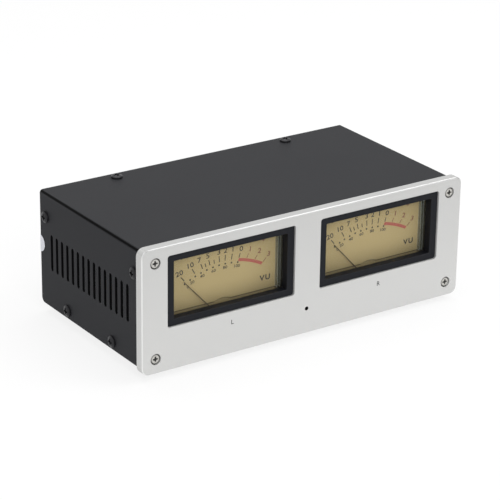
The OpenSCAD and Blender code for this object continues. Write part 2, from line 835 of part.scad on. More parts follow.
// Moulded case of the movement: a shallow tray in front and a deeper can behind it
module meter_case(sx) {
    tray_w = meter_w - 2 * case_play;
    tray_h = meter_h - 2 * case_play;
    low = meter_z + case_play;
    can_low = low;
    can_h = can_top_z - can_low;
    can_mid = can_low + can_h / 2;
    color(black_plastic) seat() at_meter(sx) {
        difference() {
            union() {
                slab(tray_front, tray_depth) translate([0, meter_mid_z])
                    rounded_rect(tray_w, tray_h, 1.8);
                slab(tray_front, can_back - tray_front) translate([0, can_mid])
                    rounded_rect(2 * can_half_w, can_h, 3);
            }
            slab(tray_front - eps, tray_depth - meter_wall + eps) translate([0, meter_mid_z])
                difference() {
                    rounded_rect(tray_w - 2 * meter_wall, tray_h - 2 * meter_wall, 1);
                    for (s = [-1, 1])
                        translate([s * tray_w / 2, -tray_h / 2])
                            square([2 * boss_w, 2 * boss_w], center = true);
                }
            slab(tray_front, can_back - meter_wall - tray_front) translate([0, can_mid])
                rounded_rect(2 * (can_half_w - meter_wall), can_h - 2 * meter_wall, 2);
            for (s = [-1, 1]) {
                translate([s * meter_screw_x, 0, meter_screw_z])
                    bar(tray_front - 1, tray_depth + 2, meter_screw_r + hole_play);
                translate([s * terminal_x, 0, terminal_z])
                    bar(can_back - meter_wall - 1, meter_wall + 2, terminal_r + hole_play);
            }
        }
        // Stakes that hold the dial and its carrier
        for (s = [-1, 1]) {
            translate([s * stake_x, 0, stake_top_z]) {
                bar(carrier_back, tray_back - meter_wall - carrier_back + 0.2, stake_r + 1);
                bar(dial_y + 0.1, carrier_back - dial_y, stake_r);
            }
            translate([s * stake_x, 0, stake_low_z]) {
                bar(carrier_back, tray_back - meter_wall - carrier_back + 0.2, stake_r + 1);
                bar(carrier_y + 0.1, carrier_back - carrier_y, stake_r);
            }
        }
        // Pads that the movement's base is seated on
        for (s = [-1, 1]) translate([s * 6, 0, pivot_z])
            bar(base_back, 1.2, 1.6);
    }
}

// ---- Movement ----

// Soft iron ring round the magnet
module yoke(sx) {
    color(zinc) seat() at_pivot(sx) difference() {
        bar(yoke_front, yoke_len, yoke_r);
        bar(yoke_front - 1, yoke_len + 2, yoke_r - yoke_wall);
    }
}

// Round magnet in the middle of the coil
module magnet(sx) {
    edge = 0.3;
    color(zinc) seat() at_pivot(sx) translate([0, magnet_front, 0]) rotate([-90, 0, 0])
        rotate_extrude() polygon([
            [0, 0], [magnet_r - edge, 0], [magnet_r, edge],
            [magnet_r, magnet_len - edge], [magnet_r - edge, magnet_len], [0, magnet_len]]);
}

// Cast frame: base plate, two posts for the bridge and two webs that hold ring and magnet
module movement_frame(sx) {
    glue = 0.02;
    spring_lug_z = spring_out_r + spring_t / 2;
    color(zinc) seat() at_pivot(sx) {
        difference() {
            slab(base_y, base_t) rounded_rect(2 * post_x + post_w, 2 * frame_half_h, 1.2);
            bar(base_y - 1, base_t + 2, jewel_r + glue);
        }
        for (s = [-1, 1]) {
            difference() {
                translate([s * post_x - post_w / 2, bridge_y + bridge_t, -post_half_h])
                    cube([post_w, base_y - bridge_y - bridge_t + eps, 2 * post_half_h]);
                translate([s * post_x, 0, 0]) bar(bridge_y, 6, 0.4);
            }
            translate([0, 0, s > 0 ? yoke_r - web_seat_h : -yoke_r])
                translate([-web_half_w, yoke_back, 0])
                    cube([2 * web_half_w, base_y - yoke_back + eps, web_seat_h]);
            intersection() {
                translate([-web_half_w, magnet_front, s > 0 ? 0 : -yoke_r])
                    cube([2 * web_half_w, yoke_back - magnet_front + eps, yoke_r]);
                difference() {
                    bar(magnet_front, yoke_back - magnet_front + eps, yoke_r - yoke_wall - glue);
                    bar(magnet_front - 1, yoke_len + 2, magnet_r + glue);
                }
            }
        }
        translate([-0.4, rear_spring_y, spring_lug_z])
            cube([0.8, base_y - rear_spring_y + eps, magnet_r + 0.3 - spring_lug_z]);
    }
}

// Bridge across the front of the movement, its two screws and both jewel screws
module jewel_bridge(sx) {
    pan_head_r = 0.75;
    color(brass) seat() at_pivot(sx) {
        difference() {
            slab(bridge_y, bridge_t) {
                square([2 * post_x + post_w, 2 * post_half_h - 0.4], center = true);
                circle(2.7);
            }
            jewel_cup(bridge_y + bridge_t, -1);
        }
        for (s = [-1, 1]) translate([s * post_x, 0, 0]) difference() {
            union() {
                bar(bridge_y - 0.6, 0.6 + eps, pan_head_r);
                bar(bridge_y + bridge_t - eps, 3, 0.4 - thread_play);
            }
            translate([-pan_head_r, bridge_y - 0.7, -0.12]) cube([2 * pan_head_r, 0.4, 0.24]);
        }
        difference() {
            bar(zero_arm_y - 0.4, bridge_y - zero_arm_y + 0.4 + eps, jewel_r);
            translate([-jewel_r, zero_arm_y - 0.5, -0.2]) cube([2 * jewel_r, 0.5, 0.4]);
        }
        difference() {
            bar(base_y, base_t + 0.7, jewel_r);
            jewel_cup(base_y, 1);
            translate([-jewel_r, base_back + 0.3, -0.2]) cube([2 * jewel_r, 0.5, 0.4]);
        }
    }
}

// Conical cup for a pivot, open at y and going in along dir
module jewel_cup(y, dir) {
    cup_r = shaft_r * 0.75 + pivot_gap;
    cup_d = 0.7;
    translate([0, y - dir * eps, 0]) rotate([-90 * dir, 0, 0])
        cylinder(h = cup_d, r1 = cup_r, r2 = 0.12);
}

// Pivot end: shaft from y0 to y1 with a cone into the cup at y1
module pivot_shaft(y0, y1) {
    dir = y1 > y0 ? 1 : -1;
    run = abs(y1 - y0);
    translate([0, y0, 0]) rotate([-90 * dir, 0, 0]) {
        cylinder(h = run - 0.3, r = shaft_r);
        translate([0, 0, run - 0.3 - eps])
            cylinder(h = 0.3 + eps, r1 = shaft_r, r2 = shaft_r * 0.55);
        translate([0, 0, run - eps])
            cylinder(h = 0.4, r1 = shaft_r * 0.5, r2 = 0.12);
    }
}

// Turns a moving piece to where the needle rests
module at_rest() {
    rotate([0, -needle_rest_angle, 0]) children();
}

// Needle with hub, cranked arm, balance weights and the front pivot
module needle(sx) {
    crank_r = carrier_rise - 0.7;
    crank_t = 0.6;
    arm_w = 0.8;
    tail = 4.6;
    tip_w = 0.25;
    weight_r = 0.65;
    color(black_plastic) seat() at_pivot(sx) at_rest() {
        bar(hub_y, hub_len, hub_r);
        pivot_shaft(coil_front, bridge_y + bridge_t);
        bar(front_spring_y - 0.1, spring_h + 0.2, collet_r);
        translate([-arm_w / 2, hub_y + (hub_len - blade_t) / 2, 0])
            cube([arm_w, blade_t, crank_r + crank_t / 2]);
        translate([-arm_w / 2, needle_y - blade_t / 2, crank_r - crank_t / 2])
            cube([arm_w, hub_y + hub_len / 2 - needle_y, crank_t]);
        slab(needle_y - blade_t / 2, blade_t) polygon([
            [-needle_w / 2, crank_r - crank_t / 2], [needle_w / 2, crank_r - crank_t / 2],
            [tip_w / 2, needle_len], [-tip_w / 2, needle_len]]);
        for (a = [90, 180, 270]) rotate([0, a, 0]) {
            translate([-arm_w / 2, hub_y + (hub_len - blade_t) / 2, 0])
                cube([arm_w, blade_t, tail]);
            translate([0, hub_y + hub_len / 2, tail - 1]) cylinder(h = 1.6, r = weight_r);
        }
    }
}

// Coil wound on a thin former round the magnet, with the rear pivot
module coil(sx) {
    former_t = 0.25;
    former_half_w = coil_half_w - coil_t;
    color(copper) seat() at_pivot(sx) at_rest() {
        difference() {
            translate([-coil_half_w, coil_front, -coil_half_h])
                cube([2 * coil_half_w, coil_back - coil_front, 2 * coil_half_h]);
            translate([-former_half_w, coil_front + coil_t, -coil_half_h - 1])
                cube([2 * former_half_w, coil_back - coil_front - 2 * coil_t, 2 * coil_half_h + 2]);
            for (s = [-1, 1]) translate([0, 0, s * (coil_half_h + former_t - 0.5)])
                coil_groove();
        }
        pivot_shaft(coil_back, base_y);
        bar(rear_spring_y - 0.1, spring_h + 0.2, collet_r);
    }
}

// Shallow step that leaves the former's rim standing round the winding
module coil_groove() {
    rim = 0.25;
    difference() {
        translate([-coil_half_w - 1, coil_front - 1, -0.2])
            cube([2 * coil_half_w + 2, coil_back - coil_front + 2, 0.4]);
        translate([-coil_half_w + rim, coil_front + rim, -1])
            cube([2 * (coil_half_w - rim), coil_back - coil_front - 2 * rim, 2]);
    }
}

// Flat spiral of half rings, outer end pointing up
module hairspring(y) {
    translate([0, y, 0]) rotate([-90, 0, 0]) rotate([0, 0, -90]) {
        for (i = [0:spring_turns - 1]) {
            rotate_extrude(angle = 180)
                translate([spring_in_r + i * spring_pitch - spring_t / 2, 0])
                    square([spring_t, spring_h]);
            translate([spring_pitch / 2, 0, 0]) rotate([0, 0, 180]) rotate_extrude(angle = 180)
                translate([spring_in_r + (i + 0.5) * spring_pitch - spring_t / 2, 0])
                    square([spring_t, spring_h]);
        }
    }
}

module hairsprings(sx) {
    color(brass) seat() at_pivot(sx) {
        hairspring(front_spring_y);
        hairspring(rear_spring_y);
    }
}

// Turning disc in the bezel's flange with the off-centre pin for the zero arm
module zero_screw(sx) {
    rim_r = zero_seat_r + 0.5;
    slot_w2 = 0.8;
    color(black_plastic) seat() at_pivot(sx) translate([0, 0, -zero_drop]) {
        difference() {
            bar(panel_t + 0.15, bezel_flange_t - 0.1, zero_seat_r - 0.1);
            translate([-slot_w2 / 2, panel_t, -zero_seat_r]) cube([slot_w2, 0.6, 2 * zero_seat_r]);
        }
        bar(flange_back + 0.05 - eps, 0.6, rim_r);
        translate([0, 0, zero_throw])
            bar(flange_back + 0.6, zero_arm_y + zero_arm_t + 0.1 - flange_back - 0.6, zero_pin_r);
    }
}

// Flat lever on the front jewel screw: fork on the zero pin, lug for the front hairspring
module zero_arm(sx) {
    fork_w = 2.4;
    fork_play = 0.06;
    lug_z = spring_out_r + spring_t / 2 + 0.02;
    color(brass) seat() at_pivot(sx) {
        slab(zero_arm_y, zero_arm_t) difference() {
            union() {
                circle(2.5);
                translate([-0.7, 0]) square([1.4, lug_z + 0.5]);
                translate([-fork_w / 2, -zero_pin_drop - 1.1])
                    square([fork_w, zero_pin_drop + 1.1]);
            }
            circle(jewel_r + 0.06);
            translate([-zero_pin_r - fork_play, -zero_pin_drop - 2])
                square([2 * (zero_pin_r + fork_play), 2 + 2 * zero_pin_r]);
        }
        translate([-0.7, zero_arm_y, lug_z])
            cube([1.4, front_spring_y + spring_h - zero_arm_y, 0.5]);
    }
}

// Threaded studs with nuts at the back of the meter cases
module terminals() {
    stud_len = 7;
    color(brass) seat() each_meter() for (s = [-1, 1])
        translate([s * terminal_x, 0, terminal_z]) {
            bar(can_back - meter_wall, stud_len + meter_wall, terminal_r);
            translate([0, can_back - meter_wall, 0]) rotate([90, 0, 0])
                cylinder(h = 0.8, r = hex_r);
            translate([0, can_back, 0]) rotate([-90, 0, 0]) cylinder(h = 2, r = hex_r, $fn = 6);
        }
}

module meter_screws() {
    len = tray_depth + bezel_flange_t + meter_screw_depth - 0.4;
    color(zinc) seat() each_meter() for (s = [-1, 1])
        translate([s * meter_screw_x, tray_back, meter_screw_z]) rotate([-90, 0, 0])
            pan_screw(len, meter_screw_r, meter_pan_r, meter_pan_h);
}

// Lamp strips in the trays, two small lamps on each
module lamp_boards() {
    strip_w = 34;
    strip_h = 6;
    strip_t = 0.8;
    lamp_r = 1.5;
    strip_y = tray_back - meter_wall - strip_t;
    color(white_part) seat() each_meter() translate([0, 0, dial_top_z - 5]) {
        translate([-strip_w / 2, strip_y, -strip_h / 2]) cube([strip_w, strip_t, strip_h]);
        for (s = [-1, 1]) translate([s * 12, 0, 0]) {
            bar(carrier_y + 0.3 + lamp_r, strip_y - carrier_y - 0.3 - lamp_r + eps, lamp_r);
            // Domed front of the lamp, ending inside the strip
            difference() {
                translate([0, carrier_y + 0.3 + lamp_r, 0]) sphere(lamp_r);
                slab(strip_y + strip_t / 2, 2 * lamp_r) square(4 * lamp_r, center = true);
            }
        }
    }
}

// ---- Rear connections ----

// Supply inlet with flange, nut and centre pin
module dc_jack() {
    depth = 9.5;
    pin_r = 1;
    color(black_plastic) seat() translate([dc_x, 0, rear_mid_z]) {
        difference() {
            union() {
                bar(rear_face - 10, 10 + sheet_t + 1.6, dc_r);
                bar(case_back, 1.6, dc_r + 1.6);
                translate([0, rear_face - 2.5, 0]) rotate([-90, 0, 0])
                    cylinder(h = 2.5, r = dc_r + 2.2, $fn = 6);
            }
            bar(case_back + 1.6 - depth, depth + 1, dc_bore_r);
        }
        bar(case_back + 1.6 - depth - eps, depth - 0.8, pin_r);
        for (s = [-1, 1]) translate([s * 2.5 - 1, rear_face - 15, -0.3]) cube([2, 5 + eps, 0.6]);
    }
}

// Snap-in housing of the power switch, hollow round the rocker
module power_switch() {
    lip = 1.5;
    color(black_plastic) seat() translate([power_x, 0, rear_mid_z]) {
        difference() {
            union() {
                slab(case_back, switch_flange)
                    rounded_rect(switch_body_w + 2 * lip, switch_body_h + 2 * lip, 1);
                translate([0.1 - switch_body_w / 2, case_back - switch_depth, 0.1 - switch_body_h / 2])
                    cube([switch_body_w - 0.2, switch_depth + eps, switch_body_h - 0.2]);
            }
            translate([-rocker_w / 2 - 0.2, rocker_pivot_y, 0]) rotate([0, 90, 0])
                cylinder(h = rocker_w + 0.4, r = rocker_r + 0.2);
            translate([-switch_body_w / 2 + 0.8, rocker_pivot_y, 0]) rotate([0, 90, 0])
                cylinder(h = switch_body_w - 1.6, r = rocker_pin_r + 0.05);
        }
        for (z = [-5, 5])
            translate([-2.4, case_back - switch_depth - 8, z - 0.4]) cube([4.8, 8 + eps, 0.8]);
    }
}

// Rocker, modelled pressed at its lower end
module power_rocker() {
    dip = 3.2;
    tip = 4.8;
    floor_u = -2.5;
    color(black_plastic) seat() translate([power_x, rocker_pivot_y, rear_mid_z])
        rotate([-rocker_tilt, 0, 0]) {
            translate([-rocker_w / 2, 0, 0]) rotate([90, 0, 90]) linear_extrude(rocker_w)
                intersection() {
                    circle(rocker_r);
                    polygon([
                        [floor_u, -rocker_r], [tip, -rocker_r], [dip, 0],
                        [tip, rocker_r], [floor_u, rocker_r]]);
                }
            translate([-rocker_w / 2 - 0.9, 0, 0]) rotate([0, 90, 0])
                cylinder(h = rocker_w + 1.8, r = rocker_pin_r);
        }
}

// Slide switch behind the rear sheet
module source_switch() {
    body_d = 7;
    cavity_half_w = (lever_w + source_travel) / 2 + 1.8;
    color(zinc) seat() translate([source_x, 0, rear_mid_z]) {
        difference() {
            translate([-cavity_half_w - 3, rear_face - body_d, -4.2])
                cube([2 * cavity_half_w + 6, body_d, 8.4]);
            translate([-cavity_half_w, rear_face - 4.4, -lever_h / 2 - 0.7])
                cube([2 * cavity_half_w, 4.4 + 1, lever_h + 1.4]);
        }
        for (x = [-4, 0, 4])
            translate([x - 0.5, rear_face - body_d - 4, -0.2]) cube([1, 4 + eps, 0.4]);
    }
}

// Lever of the slide switch, modelled at the left end of its travel
module source_lever() {
    base_extra = 1.5;
    color(black_plastic) seat()
        translate([source_x - source_travel / 2, 0, rear_mid_z]) {
            translate([-lever_w / 2 - base_extra, rear_face - 4.1, -lever_h / 2 - 0.5])
                cube([lever_w + 2 * base_extra, 3.8, lever_h + 1]);
            difference() {
                translate([-lever_w / 2, rear_face - 1, -lever_h / 2])
                    cube([lever_w, 1 + sheet_t + lever_out, lever_h]);
                for (x = [-1.2, 0, 1.2])
                    translate([x - 0.2, case_back + lever_out - 0.4, -lever_h]) cube([0.4, 1, 2 * lever_h]);
            }
        }
}

// Two round input sockets with flange, nut and solder tag
module input_jacks() {
    bore_r = 1.6;
    flange_t = 1.5;
    start = case_back + washer_t;
    color(zinc) seat() for (s = [-1, 1])
        translate([rca_x + s * rca_pitch / 2, 0, rear_mid_z]) {
            difference() {
                union() {
                    bar(start, flange_t, rca_r + 1.3);
                    bar(start + flange_t - eps, rca_len + eps, rca_r);
                    bar(rear_face - 5, start - rear_face + 5 + eps, rca_r - 0.8);
                    translate([0, rear_face - 2.2, 0]) rotate([-90, 0, 0])
                        cylinder(h = 2.2, r = rca_r + 2, $fn = 6);
                }
                bar(start + flange_t + rca_len - 0.8, 1, rca_r - 0.7);
                bar(start + flange_t + rca_len - 9, 9, bore_r);
            }
            translate([-1, rear_face - 10, -0.3]) cube([2, 5 + eps, 0.6]);
        }
}

// Coloured insulating washer under an input socket
module input_washer(side) {
    seat() translate([rca_x + side * rca_pitch / 2, 0, rear_mid_z]) difference() {
        bar(case_back, washer_t, rca_r + 2.2);
        bar(case_back - 1, washer_t + 2, rca_r - 0.75);
    }
}

// Level control with its threaded bush and nut
module level_pot() {
    can_r = 8;
    color(zinc) seat() translate([knob_x, 0, rear_mid_z]) {
        difference() {
            union() {
                bar(rear_face - pot_can_d, pot_can_d, can_r);
                bar(rear_face - eps, sheet_t + 2.2, pot_bush_r);
                translate([0, case_back, 0]) rotate([-90, 0, 0])
                    cylinder(h = 1.8, r = pot_bush_r + 2.4, $fn = 6);
            }
            bar(rear_face - pot_can_d + 1.2, pot_can_d + sheet_t + 5, pot_shaft_r + 0.05);
        }
        for (x = [-5, 0, 5])
            translate([x - 0.6, rear_face - pot_can_d + 2, -can_r - 4]) cube([1.2, 0.8, 6.6]);
    }
}

// Steel shaft of the level control
module level_shaft() {
    start = rear_face - pot_can_d + 1.4;
    color(zinc) seat() translate([knob_x, 0, rear_mid_z])
        bar(start, knob_start + shaft_grip - start, pot_shaft_r);
}

// Turned knob with a fluted rim, a skirt and a pointer groove
module level_knob() {
    flutes = 18;
    flute_r = 0.55;
    skirt = 2;
    color(black_plastic) seat() translate([knob_x, knob_start, rear_mid_z]) difference() {
        rotate([-90, 0, 0]) rotate_extrude() polygon([
            [0, 0], [knob_r + 0.8, 0], [knob_r + 0.8, skirt], [knob_r, skirt + 0.6],
            [knob_r - 0.4, knob_len - 0.8], [knob_r - 1.2, knob_len], [0, knob_len]]);
        for (i = [0:flutes - 1]) rotate([0, i * 360 / flutes, 0])
            translate([knob_r + 0.1, 0, 0]) bar(skirt + 0.6, knob_len, flute_r);
        bar(-1, shaft_grip + 1.2, pot_shaft_r + 0.03);
        translate([-0.4, knob_len - 0.4, 1]) cube([0.8, 1, knob_r]);
    }
}

// ---- Electronics ----

module circuit_board() {
    color([0.10, 0.32, 0.18]) seat() difference() {
        translate([-board_w / 2, board_front, board_z]) cube([board_w, board_d, board_t]);
        board_hole_places() translate([0, 0, board_z - 1])
            cylinder(h = board_t + 2, r = screw_r + hole_play);
    }
}

// Upright capacitors with a pressed groove
module capacitors() {
    groove = 0.35;
    color(black_plastic) seat() for (s = [-1, 1], i = [-0.5, 0.5]) {
        translate([s * cap_x + i * cap_pitch, cap_y, board_top])
            capacitor(cap_r, cap_h, groove);
        translate([s * cap_x + i * cap_pitch, small_cap_y, board_top])
            capacitor(small_cap_r, small_cap_h, groove);
    }
}

module capacitor(r, h, groove) {
    rotate_extrude() polygon([
        [0, 0], [r, 0], [r, 1.2], [r - groove, 1.8], [r, 2.4],
        [r, h - 0.5], [r - 0.5, h], [0, h]]);
}

// Chips in eight-leg packages
module chips() {
    body_w = 6.4;
    body_l = 9.6;
    color(black_plastic) seat() for (i = [-0.5, 0.5], row = [0, 1])
        translate([i * chip_pitch, board_front + 12 + row * 15, board_top]) {
            translate([-body_w / 2, -body_l / 2, 0.5]) cube([body_w, body_l, 3.2]);
            for (s = [-1, 1], i = [0:3])
                translate([s * (body_w / 2 + 0.5) - 0.5, (i - 1.5) * 2.54 - 0.25, 0])
                    cube([1, 0.5, 2]);
        }
}

// Open-topped plug headers along the board's front edge
module headers() {
    head_w = 10;
    head_h = 7;
    wall = 0.8;
    color(white_part) seat() for (k = [-1.5:1.5])
        translate([k * header_pitch, header_y, board_top]) {
            difference() {
                translate([-head_w / 2, -header_d / 2, 0]) cube([head_w, header_d, head_h]);
                translate([wall - head_w / 2, wall - header_d / 2, 1])
                    cube([head_w - 2 * wall, header_d - 2 * wall, head_h]);
            }
            for (i = [-1:1]) translate([i * 2.5 - 0.3, -0.3, 1 - eps]) cube([0.6, 0.6, 4.5]);
        }
}

// Hexagonal standoffs pressed into the chassis floor
module standoffs() {
    color(brass) seat() board_hole_places() translate([0, 0, floor_z]) difference() {
        union() {
            cylinder(h = standoff_h, r = hex_r, $fn = 6);
            translate([0, 0, -sheet_t]) cylinder(h = sheet_t + eps, r = screw_r - thread_play);
        }
        translate([0, 0, standoff_h - 4]) cylinder(h = 5, r = screw_r);
    }
}

// Microphone behind the sound hole
module mic_capsule() {
    color(zinc) seat() translate([0, 0, mic_z]) difference() {
        bar(panel_t + 1.2, 4.5, mic_capsule_r);
        bar(panel_t + 1, 0.5, 1.2);
    }
}

// Rubber ring that holds the microphone against the panel
module mic_grommet() {
    wall = 1.4;
    color(black_plastic) seat() translate([0, 0, mic_z]) difference() {
        bar(panel_t, 6, mic_capsule_r + wall);
        bar(panel_t + 1.2, 6, mic_capsule_r + 0.02);
        bar(panel_t - 1, 4, mic_hole_r + 0.4);
    }
}

// ---- Named nodes ----
module bezel_left() bezel(-1);
module lens_left() lens(-1);
module dial_left() dial(-1);
module dial_carrier_left() dial_carrier(-1);
module meter_case_left() meter_case(-1);
module yoke_left() yoke(-1);
module magnet_left() magnet(-1);
module movement_frame_left() movement_frame(-1);
module jewel_bridge_left() jewel_bridge(-1);
module needle_left() needle(-1);
module coil_left() coil(-1);
module hairsprings_left() hairsprings(-1);
module zero_screw_left() zero_screw(-1);
module zero_arm_left() zero_arm(-1);
module bezel_right() bezel(1);
module lens_right() lens(1);
module dial_right() dial(1);
module dial_carrier_right() dial_carrier(1);
module meter_case_right() meter_case(1);
module yoke_right() yoke(1);
module magnet_right() magnet(1);
module movement_frame_right() movement_frame(1);
module jewel_bridge_right() jewel_bridge(1);
module needle_right() needle(1);
module coil_right() coil(1);
module hairsprings_right() hairsprings(1);
module zero_screw_right() zero_screw(1);
module zero_arm_right() zero_arm(1);
module input_washer_white() color(white_part) input_washer(-1);
module input_washer_red() color([0.75, 0.12, 0.10]) input_washer(1);

front_panel();
panel_screws();
clinch_nuts();
chassis();
cover();
rear_panel();
case_screws();
feet();
small_screws();
seal();
bezel_left();
lens_left();
dial_left();
dial_carrier_left();
meter_case_left();
yoke_left();
magnet_left();
movement_frame_left();
jewel_bridge_left();
needle_left();
coil_left();
hairsprings_left();
zero_screw_left();
zero_arm_left();
bezel_right();
lens_right();
dial_right();
dial_carrier_right();
meter_case_right();
yoke_right();
magnet_right();
movement_frame_right();
jewel_bridge_right();
needle_right();
coil_right();
hairsprings_right();
zero_screw_right();
zero_arm_right();
terminals();
meter_screws();
lamp_boards();
dc_jack();
power_switch();
power_rocker();
source_switch();
source_lever();
input_jacks();
input_washer_white();
input_washer_red();
level_pot();
level_shaft();
level_knob();
circuit_board();
capacitors();
chips();
headers();
standoffs();
mic_capsule();
mic_grommet();
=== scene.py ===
import json
import math

import bmesh
import bpy
from mathutils import Matrix, Vector


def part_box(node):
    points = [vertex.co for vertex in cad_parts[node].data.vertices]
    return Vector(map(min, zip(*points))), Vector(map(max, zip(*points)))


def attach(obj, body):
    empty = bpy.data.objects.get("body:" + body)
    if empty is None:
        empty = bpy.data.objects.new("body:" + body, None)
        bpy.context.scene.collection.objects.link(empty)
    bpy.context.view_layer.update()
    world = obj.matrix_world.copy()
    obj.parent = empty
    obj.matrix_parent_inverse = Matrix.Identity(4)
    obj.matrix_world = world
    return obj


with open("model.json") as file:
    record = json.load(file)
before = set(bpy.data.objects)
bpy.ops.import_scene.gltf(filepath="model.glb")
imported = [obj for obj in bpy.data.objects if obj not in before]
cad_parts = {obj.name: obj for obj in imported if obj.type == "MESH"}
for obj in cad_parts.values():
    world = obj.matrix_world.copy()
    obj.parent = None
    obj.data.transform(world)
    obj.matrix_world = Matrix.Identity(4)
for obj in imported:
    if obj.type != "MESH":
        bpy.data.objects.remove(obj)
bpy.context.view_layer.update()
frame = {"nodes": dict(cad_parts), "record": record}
nodes = frame["nodes"]


# ---- Chassis and its clinch nuts ----
# Bent tray of zinc plated sheet steel with tabs for the panel screws and lips for the cover.
# The nuts are pressed into the tabs, the standoffs into the floor.

class Wire:
    """One value, colour or vector of a shader, for use in sums and products."""

    def __init__(self, graph, socket):
        self.graph = graph
        self.socket = socket

    def _op(self, op, a, b):
        plain = all(p.socket.type == "VALUE" if isinstance(p, Wire)
                    else isinstance(p, (int, float)) for p in (a, b))
        kind = "ShaderNodeMath" if plain else "ShaderNodeVectorMath"
        return self.graph.node(kind, {"operation": op}, {0: a, 1: b})

    def __add__(self, other):
        return self._op("ADD", self, other)

    def __radd__(self, other):
        return self._op("ADD", other, self)

    def __sub__(self, other):
        return self._op("SUBTRACT", self, other)

    def __rsub__(self, other):
        return self._op("SUBTRACT", other, self)

    def __mul__(self, other):
        return self._op("MULTIPLY", self, other)

    def __rmul__(self, other):
        return self._op("MULTIPLY", other, self)

    def __truediv__(self, other):
        return self._op("DIVIDE", self, other)

    def __rtruediv__(self, other):
        return self._op("DIVIDE", other, self)

    def __pow__(self, other):
        return self._op("POWER", self, other)

    def __rpow__(self, other):
        return self._op("POWER", other, self)

    def __neg__(self):
        return self._op("MULTIPLY", self, -1.0)

    def clamp(self):
        return self._op("MINIMUM", self._op("MAXIMUM", self, 0.0), 1.0)

    def over(self, edge):
        """1 where this is more than edge, 0 elsewhere."""
        return self._op("GREATER_THAN", self, edge)

    def sign(self):
        """1 where this is more than 0, -1 elsewhere."""
        return self.over(0.0) * 2.0 - 1.0

    def dot(self, other):
        return self.graph.node("ShaderNodeVectorMath", {"operation": "DOT_PRODUCT"},
                               {0: self, 1: other}, "Value")

    def mix(self, a, b):
        """Colour a where this is 0, colour b where it is 1."""
        return self.graph.node("ShaderNodeMix", {"data_type": "RGBA"}, {0: self, 6: a, 7: b}, 2)


class Graph:
    """The nodes of one finish, or of the sky."""

    def __init__(self, tree):
        self.tree = tree

    def _feed(self, socket, value):
        if isinstance(value, Wire):
            self.tree.links.new(value.socket, socket)
        elif socket.type == "RGBA":
            socket.default_value = (*value, 1.0)
        elif socket.type == "VECTOR" and isinstance(value, (int, float)):
            socket.default_value = (value,) * 3
        else:
            socket.default_value = value

    def node(self, kind, settings=None, sockets=None, out=0):
        """Adds a node and gives the output asked for."""
        n = self.tree.nodes.new(kind)
        for key, value in (settings or {}).items():
            setattr(n, key, value)
        for key, value in (sockets or {}).items():
            self._feed(n.inputs[key], value)
        return Wire(self, n.outputs[out])

    def put(self, target, **sockets):
        """Sets or links sockets of a node that is there already."""
        for key, value in sockets.items():
            self._feed(self.tree.nodes[target].inputs[key.replace("_", " ")], value)


class Finish(Graph):
    """A material under construction."""

    def __init__(self, name):
        self.mat = bpy.data.materials.new(name)
        self.mat.use_nodes = True
        super().__init__(self.mat.node_tree)
        self.place = self.node("ShaderNodeTexCoord", out="Object")
        self.x, self.y, self.z = self.parts(self.place)

    def parts(self, vector):
        """The x, y and z of a vector."""
        return [self.node("ShaderNodeSeparateXYZ", sockets={"Vector": vector}, out=i)
                for i in range(3)]

    def facing(self):
        """Which way the surface looks."""
        return self.node("ShaderNodeNewGeometry", out="Normal")

    def noise(self, scale, detail=3.0, stretch=None):
        at = self.place if stretch is None else self.place * stretch
        return self.node("ShaderNodeTexNoise", sockets={
            "Vector": at, "Scale": scale, "Detail": detail, "Roughness": 0.55})

    def edge(self, width):
        """1 along the piece's edges, 0 on its faces."""
        rounded = self.node("ShaderNodeBevel", {"samples": 6}, {"Radius": width})
        return ((1.0 - rounded.dot(self.facing())) * 4.0).clamp()

    def bump(self, height, depth, under=None):
        sockets = {"Height": height, "Distance": depth, "Strength": 1.0}
        if under is not None:
            sockets["Normal"] = under
        return self.node("ShaderNodeBump", sockets=sockets)

    def coat(self, **sockets):
        """Sets the surface's own sockets and gives the finished material."""
        self.put("Principled BSDF", **sockets)
        return self.mat


def grained(name, colour, rough, metal=0.0, fleck=0.06, grain=1500.0, bump=0.00001,
            edge=0.00025, worn=None, stretch=None, lacquer=0.0, shine=0.5):
    """A finish with cloudy colour, fine grain, uneven gloss and its own worn edges."""
    f = Finish(name)
    cloud = f.noise(38.0, 4.0)
    fine = f.noise(grain, 2.0, stretch)
    smear = f.noise(160.0, 5.0, stretch)
    tone = 1.0 + (cloud - 0.5) * (fleck * 1.6) + (fine - 0.5) * fleck
    worn = worn or tuple(min(1.0, c * 1.25 + 0.01) for c in colour)
    wear = (f.edge(edge) * (0.35 + smear)).clamp()
    return f.coat(
        Base_Color=wear.mix(tone * colour, worn),
        Roughness=(rough + (smear - 0.5) * 0.16 + (fine - 0.5) * 0.05 - wear * 0.06).clamp(),
        Metallic=metal, Coat_Weight=lacquer, Specular_IOR_Level=shine,
        Normal=f.bump(fine, bump))


def dress(mat, *names, bevel=0.0):
    """Gives CAD nodes their finish and, where it shows, softly broken edges."""
    for name in names:
        piece = nodes[name]
        piece.data.materials.clear()
        piece.data.materials.append(mat)
        if bevel:
            weld = piece.modifiers.new("weld", "WELD")
            weld.merge_threshold = 0.000002
            broken = piece.modifiers.new("edges", "BEVEL")
            broken.width = bevel
            broken.segments = 2
            broken.limit_method = "ANGLE"
            broken.angle_limit = math.radians(28.0)


zinc = grained("zinc plate", (0.50, 0.51, 0.50), 0.38, metal=0.85, fleck=0.14, grain=420.0,
               stretch=(1.0, 0.15, 1.0))
dress(zinc, "chassis", "clinch_nuts")


# ---- Feet and small screws ----
# Four turned rubber feet, each held by a plated pan head screw through the chassis floor.
# The same screws hold the board on its standoffs.

